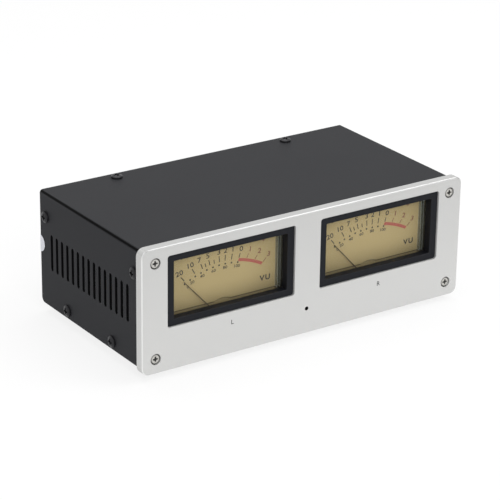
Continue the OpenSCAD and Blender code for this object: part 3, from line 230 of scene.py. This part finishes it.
rubber = grained("foot rubber", (0.022, 0.022, 0.023), 0.75, fleck=0.2, grain=900.0, bump=0.00003)
dress(rubber, "feet", bevel=0.0003)
plated_screw = grained("plated screw", (0.62, 0.61, 0.58), 0.28, metal=1.0, fleck=0.12,
                       worn=(0.85, 0.84, 0.80), edge=0.00015)
dress(plated_screw, "small_screws")


# ---- Front panel ----
# Five millimetre aluminium plate, finely blasted and clear anodised after milling.
# The chamfer round the front edge was cut afterwards and is left bright; its colour also carries a
# painted highlight, dimmed as painted shade where it faces up.
# Four screws through countersinks hold the plate; beside each head is a narrow gap, painted dark as
# shade.

panel_low, panel_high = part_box("front_panel")
FACE_Y = panel_low.y
PANEL_LOW = panel_low.z
PANEL_H = panel_high.z - panel_low.z
SCREW_X = 0.08305
SCREW_Z = PANEL_LOW + PANEL_H / 2
SCREW_RISE = 0.0233
GAP_R = 0.00262
GAP_FROM = 0.00012
WINDOWS_X = 0.085
WINDOWS_LOW = 0.2
WINDOWS_HIGH = 0.95
SOUND_Z = PANEL_LOW + 0.0127
SOUND_R = 0.0013
SOUND_FROM = 0.00005
LIP = 0.00018
BLASTED = (0.545, 0.545, 0.537)
BLASTED_EDGE_HIGHLIGHT = (0.70, 0.70, 0.69)
GAP_SHADE = (0.020, 0.020, 0.018)
SOUND_SHADE = (0.004, 0.004, 0.004)


def from_screw(f):
    """Steps to the side and up from the middle of the nearest panel screw, and the distance."""
    across = f.x - f.x.sign() * SCREW_X
    rise = f.z - SCREW_Z
    rise = rise - rise.sign() * SCREW_RISE
    return across, rise, (across * across + rise * rise) ** 0.5


def blasted_plate():
    """Frosted faces, a bright chamfer with a painted highlight, painted shade beside the screws and
    in the sound hole, and painted light and shade by height and facing.
    """
    f = Finish("blasted aluminium")
    frost = f.noise(2600.0, 2.0)
    cloud = f.noise(22.0, 3.0)
    smear = f.noise(90.0, 4.0, (1.0, 1.0, 0.5))
    left, slope, up = f.parts(f.facing())
    depth = f.y - FACE_Y
    height = (f.z - PANEL_LOW) / PANEL_H
    windows = (height.over(WINDOWS_LOW) * (WINDOWS_HIGH - height).over(0.0)
               * (WINDOWS_X - f.x).over(0.0) * (WINDOWS_X + f.x).over(0.0))
    countersink_shade = (GAP_R - from_screw(f)[2]).over(0.0) * (depth - GAP_FROM).over(0.0)
    # Painted shade on the sound hole's wall.
    drop = f.z - SOUND_Z
    sound_hole_shade = (SOUND_R - (f.x * f.x + drop * drop) ** 0.5).over(0.0) \
        * (depth - SOUND_FROM).over(0.0)
    slant = (-slope).over(0.4) * (1.0 - (-slope).over(0.95)) * (1.0 - countersink_shade)
    chamfer = slant * (1.0 - windows)
    # Chamfer colour: bright cut metal plus a painted highlight, dimmed as painted shade where it
    # faces up, most on its front strip.
    chamfer_metal_and_sheen = 0.78 - (up * (0.52 + (LIP - depth).over(0.0) * 0.23)).clamp()
    # Painted light and shade: lighter towards the top and on the left-facing side, darker on
    # up-facing faces and on the window slopes.
    tone = ((1.0 + (cloud - 0.5) * 0.03 + (frost - 0.5) * 0.07) * (1.07 - height * 0.13)
            * (1.0 + (-left).over(0.9) * 0.12) * (1.0 - up.over(0.9) * 0.17)
            * (1.0 - slant * windows * 0.35))
    # Painted highlight along the plate's edges.
    base = (f.edge(0.00012) * 0.3).mix(tone * BLASTED, BLASTED_EDGE_HIGHLIGHT)
    base = chamfer.mix(base, chamfer_metal_and_sheen * (1.0, 1.0, 0.99))
    # Painted shade in the countersink gap beside each screw head.
    base = countersink_shade.mix(base, GAP_SHADE)
    return f.coat(
        Base_Color=sound_hole_shade.mix(base, SOUND_SHADE),
        Roughness=(0.50 + (smear - 0.5) * 0.08 + (frost - 0.5) * 0.06 - chamfer * 0.14).clamp(),
        Metallic=0.35 + chamfer * 0.25, Normal=f.bump(frost, 0.000008))


dress(blasted_plate(), "front_panel")


# ---- Microphone and its rubber ring ----
# A small capsule with a felt front in a rubber ring, glued behind the sound hole.
# Only the dark hole in the panel shows from outside.

dress(rubber, "mic_grommet")
felt = grained("capsule", (0.012, 0.012, 0.012), 0.8, fleck=0.3, shine=0.1)
dress(felt, "mic_capsule")


# ---- Meter cases ----
# Black moulded case of each meter: a shallow tray in front, screwed to the panel's back, and a
# deeper can behind it. The dial's stakes and the movement's bosses are moulded on.

moulded = grained("moulded black", (0.0082, 0.0090, 0.0118), 0.52, fleck=0.12, grain=2200.0,
                  bump=0.000012, worn=(0.035, 0.036, 0.042), shine=0.14)
dress(moulded, "meter_case_left", "meter_case_right")


# ---- Movements: ring, magnet, frame, bridge, coil, springs, needle, zero screw and arm ----
# The iron ring and the magnet are glued to the cast frame; the copper coil turns between them
# on two jewelled pivots, held at zero by two flat bronze hairsprings.

iron = grained("dull iron", (0.25, 0.25, 0.25), 0.5, metal=0.8, fleck=0.2, grain=700.0)
cast = grained("cast frame", (0.46, 0.46, 0.45), 0.55, metal=0.7, fleck=0.15, grain=600.0)
brass = grained("turned brass", (0.60, 0.42, 0.16), 0.32, metal=1.0, fleck=0.14,
                worn=(0.80, 0.62, 0.30))
copper = grained("enamelled wire", (0.42, 0.15, 0.06), 0.3, metal=0.8, fleck=0.25,
                 grain=5200.0, bump=0.00004, stretch=(1.0, 0.1, 1.0))
needle_black = grained("needle black", (0.072, 0.049, 0.030), 0.6, fleck=0.2, edge=0.0001,
                       shine=0.2)
for side in ("left", "right"):
    dress(iron, f"yoke_{side}", f"magnet_{side}")
    dress(cast, f"movement_frame_{side}")
    dress(brass, f"jewel_bridge_{side}", f"hairsprings_{side}", f"zero_arm_{side}")
    dress(copper, f"coil_{side}")
    dress(needle_black, f"needle_{side}")
    dress(moulded, f"zero_screw_{side}")


# ---- Dials and their carriers ----
# Thin khaki plates printed in dark brown and red; the carrier behind is the same paint, dimmed as
# painted shade, and shows as a strip below the dial's lower edge, with a painted shadow line
# between them.
# Painted shade darkens each plate towards the bottom and the sides, and the dial past the lens
# walls nearly to black.

PIVOT_X, _, PIVOT_Z = next(j["pos_m"] for j in frame["record"]["behaviour"]["joints"]
                           if j["name"] == "needle_right")
DIAL_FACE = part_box("dial_left")[0].y
DIAL_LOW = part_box("dial_left")[0].z
DIAL_END = 0.0294
WALL_END = 0.0306
ARCH_R = 0.0109
ARCH_HALF = 0.0048
ARCH_GAP = 0.0001
LINE_H = 0.00075
DIM_BELOW = PANEL_LOW + 0.0335
DIM_OVER = 0.016
KHAKI = (0.385, 0.300, 0.134)
SHADOW_BROWN = (0.035, 0.027, 0.014)


def khaki(name, share, shadow_under_dial=False):
    """The plates' paint, dimmed to the share given as painted shade, with painted shade towards the
    bottom, the sides and past the lens walls, and, if asked, a painted shadow line under the dial's
    edge.
    """
    f = Finish(name)
    fibre = f.noise(1400.0, 4.0)
    cloud = f.noise(45.0, 3.0)
    across = f.x - f.x.sign() * PIVOT_X
    low = ((DIM_BELOW - f.z) / DIM_OVER).clamp()
    left = ((-across - 0.010) / 0.024).clamp()
    right = ((across - 0.010) / 0.012).clamp()
    # Painted shade: darker towards the bottom and the sides of each plate.
    painted_shading = 0.97 - low * 0.28 - left * 0.11 - low * left * 0.10 - right * 0.06
    tone = painted_shading * (1.0 + (cloud - 0.5) * 0.05 + (fibre - 0.5) * 0.10)
    # Painted shade: the dial past the lens wall is darkened nearly to black.
    tone = tone * (1.0 - across.over(DIAL_END) * 0.5 - across.over(WALL_END) * 0.35)
    base = tone * tuple(c * share for c in KHAKI)
    if shadow_under_dial:
        # Painted shadow of the dial's lower edge on the carrier, weaker in the arch.
        rise = f.z - PIVOT_Z + LINE_H
        out = (across * across + rise * rise) ** 0.5
        edge_shadow = rise.over(DIAL_LOW - PIVOT_Z) * out.over(ARCH_R)
        arch = rise.over(DIAL_LOW - PIVOT_Z + ARCH_GAP) \
            * (ARCH_HALF ** 2 - across * across).over(0.0)
        base = (edge_shadow * (0.85 - arch * 0.4)).mix(base, SHADOW_BROWN)
    return f.coat(Base_Color=base, Roughness=(0.72 + (fibre - 0.5) * 0.12).clamp(),
                  Normal=f.bump(fibre, 0.000006))


dress(khaki("dial print ground", 1.0), "dial_left", "dial_right")
# The carrier's 0.8 share is painted shade: the same paint as the dial, darker because it lies
# behind it.
dress(khaki("carrier", 0.8, shadow_under_dial=True), "dial_carrier_left", "dial_carrier_right")


# ---- Print on the dials ----
# Screen printed in two passes, dark brown and red, as a very thin layer on each plate.
# It has the level's numbers and ticks, the red band above zero, the inner scale of shares
# as dots with small numbers, and the unit.

INK_THICK = 0.00002
CAP_SHARE = 0.73
ARC_Z = PANEL_LOW - 0.0020
REST_ANGLE = -43.0
SWING = 73.2
LOW_BEND = 0.2
TOP_BEND = 20.5
TICK_LEVELS = (-20, -10, -7, -6, -5, -4, -3, -2, -1, 0, 1, 2, 3)
UNNUMBERED = (-6, -4)
TICK_FROM, UPPER_TICK_FROM = 0.0452, 0.0458
TICK_TO, SHORT_TICK_TO = 0.0480, 0.0472
TICK_W, RED_TICK_W = 0.00046, 0.00036
NUMBER_ARC, NUMBER_H, NUMBER_STROKE = 0.0501, 0.0025, 0.00006
LOWEST_ASIDE = (0.0007, 0.0003)
DOT_ARC, DOT_R, DOT_CORNERS = 0.04365, 0.00048, 14
SHARE_ARC, ZERO_SHARE_ARC, SHARE_H, SHARE_STROKE = 0.0418, 0.0412, 0.0015, 0.00004
WIDE = 1.2
LEAN = 0.3
BAND_IN, BAND_OUT, BAND_STEPS = 0.04408, 0.04560, 40
UNIT_X, UNIT_Z = 0.0235, PANEL_LOW + 0.0297
UNIT_H, UNIT_WIDE, UNIT_STROKE, UNIT_SPACE = 0.00265, 1.12, 0.00012, 1.25
SIGN_X, SIGN_H = 0.0224, 0.0021
PLUS_Z, MINUS_Z = PANEL_LOW + 0.0487, PANEL_LOW + 0.0492


def ink(name, colour, slot):
    """A printing ink: its material, and the slot name given, which is not used."""
    f = Finish(name)
    fibre = f.noise(2400.0, 3.0)
    spread = f.noise(300.0, 3.0)
    mat = f.coat(Base_Color=(0.9 + fibre * 0.25 + spread * 0.15) * colour,
                 Roughness=(0.6 + (fibre - 0.5) * 0.2).clamp(), Normal=f.bump(fibre, 0.000004))
    return mat, slot


dark_ink = ink("dark brown ink", (0.030, 0.022, 0.014), "needle_black")
red_ink = ink("red ink", (0.30, 0.070, 0.048), "plastic_red")
thin_red_ink = ink("thin red ink", (0.15, 0.052, 0.030), "plastic_red")


def needle_angle(level):
    """Angle of the needle from upright, in degrees, at a share of full level."""
    bent = math.hypot(level, LOW_BEND) - LOW_BEND
    return REST_ANGLE + SWING * bent - TOP_BEND * max(0.0, level - 1.0) ** 2


def on_arc(angle, radius):
    """Where the needle at that angle crosses the arc of that radius round the arc's centre."""
    a = math.radians(angle)
    drop = PIVOT_Z - ARC_Z
    along = -drop * math.cos(a) + math.sqrt(radius ** 2 - (drop * math.sin(a)) ** 2)
    return along * math.sin(a), PIVOT_Z + along * math.cos(a)


def bar(p, q, w):
    """Outline of a straight bar from p to q."""
    d = Vector((q[0] - p[0], q[1] - p[1])).normalized() * w / 2
    return [(p[0] - d.y, p[1] + d.x), (q[0] - d.y, q[1] + d.x),
            (q[0] + d.y, q[1] - d.x), (p[0] + d.y, p[1] - d.x)]


def printed_shapes(name, outlines, dye, middle):
    """Thin flat shapes on a dial, each outline a list of (x, z), as one piece."""
    mat, slot = dye
    bm = bmesh.new()
    for pts in outlines:
        front = [bm.verts.new((middle + x, DIAL_FACE - INK_THICK, z)) for x, z in pts]
        back = [bm.verts.new((middle + x, DIAL_FACE, z)) for x, z in pts]
        bm.faces.new(front)
        bm.faces.new(back[::-1])
        for i in range(-1, len(pts) - 1):
            bm.faces.new((front[i], back[i], back[i + 1], front[i + 1]))
    bmesh.ops.recalc_face_normals(bm, faces=bm.faces)
    mesh = bpy.data.meshes.new(name)
    bm.to_mesh(mesh)
    bm.free()
    mesh.materials.append(mat)
    piece = bpy.data.objects.new(name, mesh)
    bpy.context.scene.collection.objects.link(piece)
    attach(piece, "cabinet")


def printed(name, text, dye, x, z, height, turn=0.0, face=DIAL_FACE, width=1.0, stroke=0.0,
            space=1.0):
    """Printed characters, centred on (x, z), as high as given."""
    mat, slot = dye
    curve = bpy.data.curves.new(name, "FONT")
    curve.body = text
    curve.align_x = "CENTER"
    curve.align_y = "CENTER"
    curve.size = height / CAP_SHARE
    curve.extrude = INK_THICK / 2
    curve.offset = stroke
    curve.space_character = space
    curve.resolution_u = 3
    curve.materials.append(mat)
    piece = bpy.data.objects.new(name, curve)
    piece.scale = (width, 1.0, 1.0)
    piece.rotation_euler = (math.radians(90.0), math.radians(turn), 0.0)
    piece.location = (x, face - INK_THICK / 2, z)
    bpy.context.scene.collection.objects.link(piece)
    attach(piece, "cabinet")


for side, middle in (("left", -PIVOT_X), ("right", PIVOT_X)):
    dark, red = [], []
    for db in TICK_LEVELS:
        angle = needle_angle(10 ** (db / 20))
        start = on_arc(angle, TICK_FROM if db < 0 else UPPER_TICK_FROM)
        end = on_arc(angle, SHORT_TICK_TO if db in UNNUMBERED else TICK_TO)
        if db > 0:
            red.append(bar(start, end, RED_TICK_W))
        else:
            dark.append(bar(start, end, TICK_W))
        if db not in UNNUMBERED:
            x, z = on_arc(angle, NUMBER_ARC)
            if db == -20:
                x, z = x + LOWEST_ASIDE[0], z + LOWEST_ASIDE[1]
            printed(f"mark_{side}_{'p' if db > 0 else 'm'}{abs(db)}", str(abs(db)),
                    thin_red_ink if db > 0 else dark_ink, middle + x, z, NUMBER_H,
                    angle * LEAN, width=WIDE, stroke=NUMBER_STROKE)
    for tenths in (0, 2, 3, 4, 5, 6, 7, 8, 9, 10):
        x, z = on_arc(needle_angle(tenths / 10), DOT_ARC)
        turns = [i * math.tau / DOT_CORNERS for i in range(DOT_CORNERS)]
        dark.append([(x + DOT_R * math.cos(a), z + DOT_R * math.sin(a)) for a in turns])
    for share in (0, 20, 40, 60, 80, 100):
        angle = needle_angle(share / 100)
        x, z = on_arc(angle, SHARE_ARC if share else ZERO_SHARE_ARC)
        printed(f"share_{side}_{share}", str(share), dark_ink, middle + x, z, SHARE_H,
                angle * LEAN, width=WIDE, stroke=SHARE_STROKE)
    printed_shapes(f"dial_ticks_{side}", dark, dark_ink, middle)
    printed_shapes(f"dial_red_ticks_{side}", red, thin_red_ink, middle)
    zero, top = needle_angle(1.0), needle_angle(10 ** (3 / 20))
    sweep = [zero + (top - zero) * i / BAND_STEPS for i in range(BAND_STEPS + 1)]
    band = [on_arc(a, BAND_OUT) for a in sweep] + [on_arc(a, BAND_IN) for a in sweep[::-1]]
    printed_shapes(f"dial_red_band_{side}", [band], red_ink, middle)
    printed(f"unit_{side}", "VU", dark_ink, middle + UNIT_X, UNIT_Z, UNIT_H, width=UNIT_WIDE,
            stroke=UNIT_STROKE, space=UNIT_SPACE)
    printed(f"plus_{side}", "+", thin_red_ink, middle + SIGN_X, PLUS_Z, SIGN_H,
            stroke=NUMBER_STROKE)
    printed(f"minus_{side}", "-", dark_ink, middle - SIGN_X, MINUS_Z, SIGN_H)


# ---- Lamp strips, terminals and meter screws ----
# White lamp strips stand in the meter cases; their lamps shine through holes in the carriers.
# The terminals are turned brass studs. Plated pan head screws hold the meters to the panel.

lamp_white = grained("lamp strip", (0.75, 0.75, 0.70), 0.35, fleck=0.05)
dress(lamp_white, "lamp_boards")
dress(brass, "terminals")
dress(plated_screw, "meter_screws")


# ---- Lenses ----
# Clear moulded covers, set in the bezels' pockets in front of the dials. The front sheet is
# nearly unseen, the thick side walls catch the light, and a painted highlight runs along their
# edges.

SHEET_CLEAR = (0.60, 0.64, 0.60)
WALL_GREEN = (0.17, 0.20, 0.18)
RIM_HIGHLIGHT = (0.62, 0.68, 0.64)


def clear():
    """Nearly unseen sheet, greyish green side walls with a painted highlight on their edges."""
    f = Finish("clear acrylic")
    sideways = f.parts(f.facing())[0]
    wall = (sideways * sideways).over(0.5)
    haze = f.noise(240.0, 3.0)
    # Painted highlight along the wall edges.
    rim_light_and_shade = f.edge(0.0005) * wall
    return f.coat(Base_Color=rim_light_and_shade.mix(wall.mix(SHEET_CLEAR, WALL_GREEN), RIM_HIGHLIGHT),
                  Roughness=0.04 + haze * 0.03,
                  Alpha=(0.008 + wall * 0.45 + rim_light_and_shade * 0.3 + haze * 0.012).clamp(),
                  IOR=1.49, Specular_IOR_Level=0.12, Coat_Weight=wall * 0.5)


dress(clear(), "lens_left", "lens_right")


# ---- Bezels ----
# Satin black moulded frames that fill the windows of the panel.
# Their flanges lie behind the panel, clamped between it and the meters.

dress(moulded, "bezel_left", "bezel_right", bevel=0.00015)


# ---- Panel screws ----
# Nickel plated countersunk screws with a cross recess, set just below the panel's face.
# The outer rim of each head falls away and is painted dark as shade, most of all to the right and
# below; painted shade also fills the cross recess, and the head's edges carry a painted highlight.

RECESS_FROM = 0.00036
RECESS_R = 0.00125
RIM_R = 0.00184
NICKEL = (0.56, 0.55, 0.52)
NICKEL_EDGE_HIGHLIGHT = (0.85, 0.84, 0.80)
RECESS_SHADE = (0.006, 0.006, 0.005)
RIM_SHADE = (0.010, 0.010, 0.009)


def sunk_screw():
    """Bright flat head with a painted highlight on its edges, painted shade in its recess and at
    its outer rim.
    """
    f = Finish("nickel screw")
    fine = f.noise(1800.0, 2.0)
    smear = f.noise(300.0, 4.0)
    across, rise, out = from_screw(f)
    # Painted shade on the outer rim, strongest to the right and below.
    rim_light_and_shade = ((out - RIM_R) * 6000.0).clamp() * (0.78 + (across - rise) * 70.0).clamp()
    heart = ((RECESS_R - out) * 3000.0).clamp()
    # Painted shade inside the cross recess.
    recess_shade = ((f.y - FACE_Y - RECESS_FROM) * 9000.0).clamp() * (0.45 + heart * 0.55)
    # Painted highlight on the head's edges.
    base = (f.edge(0.0001) * (1.0 - rim_light_and_shade) * 0.6).mix((0.85 + fine * 0.3) * NICKEL, NICKEL_EDGE_HIGHLIGHT)
    base = (recess_shade * 0.98).mix(base, RECESS_SHADE)
    return f.coat(
        Base_Color=(rim_light_and_shade * 0.95).mix(base, RIM_SHADE),
        Roughness=(0.26 + (smear - 0.5) * 0.2 + recess_shade * 0.3 + rim_light_and_shade * 0.2).clamp(),
        Metallic=0.95 - recess_shade * 0.6, Normal=f.bump(fine, 0.00001))


dress(sunk_screw(), "panel_screws")


# ---- Circuit board with its parts ----
# Green lacquered board on hexagonal brass standoffs, held by four of the small screws.
# Capacitors in dark sleeves, moulded chips and white plug headers are soldered to it.

solder_mask = grained("solder mask", (0.02, 0.10, 0.04), 0.3, fleck=0.2, grain=500.0, lacquer=0.4)
dress(solder_mask, "circuit_board")
sleeve = grained("capacitor sleeve", (0.02, 0.02, 0.03), 0.3, fleck=0.1)
dress(sleeve, "capacitors")
dress(moulded, "chips")
dress(lamp_white, "headers")
dress(brass, "standoffs")


# ---- Rear sheet with switches, sockets and level control ----
# Sheet steel in the same black powder coat as the cover; what faces inwards is painted dark as
# shade.
# Sockets, inlet and level control are held by their nuts, the power switch snaps in, and the
# slide switch sits behind its slot.

HALF_W, BACK_Y, TOP_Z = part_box("cover")[1]
SKIN = 0.00015
COAT_BLACK = (0.0243, 0.0248, 0.0272)
COAT_EDGE_HIGHLIGHT = (0.055, 0.055, 0.060)


def powder_coat():
    """Fine orange peel, rougher and darkened by painted shade on the folds, nearly black on the
    inner faces as painted shade, lighter on the side faces as painted light, with a painted
    highlight on the edges.
    """
    f = Finish("black powder coat")
    peel = f.noise(1500.0, 3.0)
    speck = f.noise(4200.0, 1.0)
    cloud = f.noise(20.0, 4.0)
    sideways, _, up = f.parts(f.facing())
    # Painted shade along the folds.
    fold_shade = (sideways * sideways * up * up * 4.0) ** 1.5
    # Painted shade on the inner faces.
    inside_shade = ((HALF_W - SKIN - f.x).over(0.0) * (HALF_W - SKIN + f.x).over(0.0)
              * (TOP_Z - SKIN - f.z).over(0.0) * (BACK_Y - SKIN - f.y).over(0.0))
    # Painted light: side faces lighter; painted shade on folds and inner faces.
    tone = ((1.0 + (cloud - 0.5) * 0.14 + (peel - 0.5) * 0.22 + (speck - 0.5) * 0.12)
            * (1.0 - fold_shade * 0.93) * (1.0 - inside_shade * 0.8) * (1.0 + sideways * sideways * 0.22))
    # Painted highlight along the edges, left off the folds.
    rim_light_and_shade = f.edge(0.0004) * 0.6 * (1.0 - fold_shade)
    return f.coat(
        Base_Color=rim_light_and_shade.mix(tone * COAT_BLACK, COAT_EDGE_HIGHLIGHT), Specular_IOR_Level=0.07,
        Roughness=(0.56 + fold_shade * 0.3 + (cloud - 0.5) * 0.10 + (peel - 0.5) * 0.12).clamp(),
        Normal=f.bump(peel, 0.00002, f.bump(speck, 0.000006)))


black_coat = powder_coat()
dress(black_coat, "rear_panel")
gloss = grained("switch plastic", (0.018, 0.018, 0.02), 0.25, fleck=0.1)
dress(gloss, "dc_jack", "power_switch", "power_rocker", "source_lever", bevel=0.0002)
dress(zinc, "source_switch", "level_pot")
nickel = grained("nickel plate", (0.66, 0.65, 0.61), 0.2, metal=1.0, fleck=0.08)
dress(nickel, "input_jacks", "level_shaft")
dress(lamp_white, "input_washer_white")
dress(grained("red washer", (0.50, 0.03, 0.025), 0.3, fleck=0.08), "input_washer_red")
dress(gloss, "level_knob", bevel=0.0002)


# ---- Cover, its screws and the seal ----
# One folded sheet of steel, powder coated black, with fifteen cooling slots in each side.
# Black pan head screws hold it, and a round paper seal lies over the left rear edge.

dress(black_coat, "cover", bevel=0.0003)
black_screw = grained("black screw", (0.011, 0.011, 0.013), 0.36, metal=0.1, fleck=0.25,
                      worn=(0.055, 0.055, 0.060), edge=0.0002, shine=0.28)
dress(black_screw, "case_screws", bevel=0.0001)
seal_paper = grained("seal paper", (0.74, 0.75, 0.80), 0.8, fleck=0.05, grain=2500.0)
dress(seal_paper, "seal")


# ---- Letters on the panel ----
# One small black screen printed letter under each window, for the left and the right meter.
# They are printed on the anodised face.

LETTER_X = 0.0418
LETTER_Z = PANEL_LOW + 0.01575
LETTER_H = 0.0023
LETTER_STROKE = 0.00003

panel_ink = ink("black screen ink", (0.012, 0.012, 0.012), "screw_black")
for name, text, x in (("mark_l", "L", -LETTER_X), ("mark_r", "R", LETTER_X)):
    printed(name, text, panel_ink, x, LETTER_Z, LETTER_H, face=FACE_Y, stroke=LETTER_STROKE)


# ---- Floor, backdrop, lamps and camera ----
# A plain white floor that keeps the object's soft shadow, under a white sky. Three soft lamps
# light it: a big one from the front left, one from above and a small one from the right.
# The camera stands where the photograph was taken from.

def looked_at(graph):
    """1 where the backdrop is seen, straight or in metal or glass, 0 where it only lights."""
    eye, mirror, through = (graph.node("ShaderNodeLightPath", out=ray) for ray in
                            ("Is Camera Ray", "Is Glossy Ray", "Is Transmission Ray"))
    return (eye + mirror + through).clamp()


def white_floor():
    """White paint that glows a little where it is looked at, so that the floor stays white."""
    f = Finish("white floor")
    paint = Wire(f, f.tree.nodes["Principled BSDF"].outputs[0])
    glow = f.node("ShaderNodeEmission", sockets={"Strength": 1.0})
    f.put("Material Output", Surface=f.node(
        "ShaderNodeMixShader", sockets={0: looked_at(f) * 0.8, 1: paint, 2: glow}))
    return f.coat(Base_Color=(0.86, 0.86, 0.86), Roughness=0.9, Specular_IOR_Level=0.1)


bm = bmesh.new()
bmesh.ops.create_grid(bm, x_segments=8, y_segments=8, size=4.0)
mesh = bpy.data.meshes.new("floor")
bm.to_mesh(mesh)
bm.free()
mesh.materials.append(white_floor())
floor = bpy.data.objects.new("floor", mesh)
bpy.context.scene.collection.objects.link(floor)

SKY_LIGHT = 0.55
world = bpy.data.worlds.new("studio")
world.use_nodes = True
bpy.context.scene.world = world
sky = Graph(world.node_tree)
sky.put("Background", Color=(1.0, 1.0, 1.0),
        Strength=SKY_LIGHT + looked_at(sky) * (1.0 - SKY_LIGHT))


def soft_box(name, place, size, power):
    """A rectangular lamp that points at the middle of the object."""
    lamp = bpy.data.lights.new(name, "AREA")
    lamp.shape = "RECTANGLE"
    lamp.size, lamp.size_y = size
    lamp.energy = power
    box = bpy.data.objects.new(name, lamp)
    box.location = place
    aim = Vector((0.0, 0.0, 0.03)) - Vector(place)
    box.rotation_euler = aim.to_track_quat("-Z", "Y").to_euler()
    bpy.context.scene.collection.objects.link(box)


soft_box("front soft box", place=(-0.35, -1.3, 0.75), size=(0.9, 0.7), power=9.0)
soft_box("top soft box", place=(0.1, 0.3, 1.2), size=(1.0, 1.0), power=7.5)
soft_box("right soft box", place=(0.62, -0.46, 0.92), size=(0.5, 0.5), power=3.5)

SENSOR_MM = 36.0
PHOTO_PX = 500.0
FOCAL_PX = 2248.3
YAW, PITCH, ROLL = (math.radians(a) for a in (34.31, 22.39, 0.81))
TO_CAMERA_MM = Vector((26.35, 1057.7, -39.1))

lens = bpy.data.cameras.new("camera")
lens.sensor_width = SENSOR_MM
lens.lens = FOCAL_PX * SENSOR_MM / PHOTO_PX
lens.clip_start = 0.05
lens.clip_end = 50.0
camera = bpy.data.objects.new("camera", lens)
turn = Matrix.Rotation(ROLL, 3, "Y") @ Matrix.Rotation(PITCH, 3, "X") @ Matrix.Rotation(YAW, 3, "Z")
stand = turn.transposed() @ TO_CAMERA_MM / -1000.0
right, ahead, up = turn
camera.matrix_world = Matrix((
    (right.x, up.x, -ahead.x, stand.x),
    (right.y, up.y, -ahead.y, stand.y + FACE_Y),
    (right.z, up.z, -ahead.z, stand.z + PANEL_LOW),
    (0.0, 0.0, 0.0, 1.0)))
bpy.context.scene.collection.objects.link(camera)
bpy.context.scene.camera = camera
bpy.context.scene.view_settings.view_transform = "Standard"
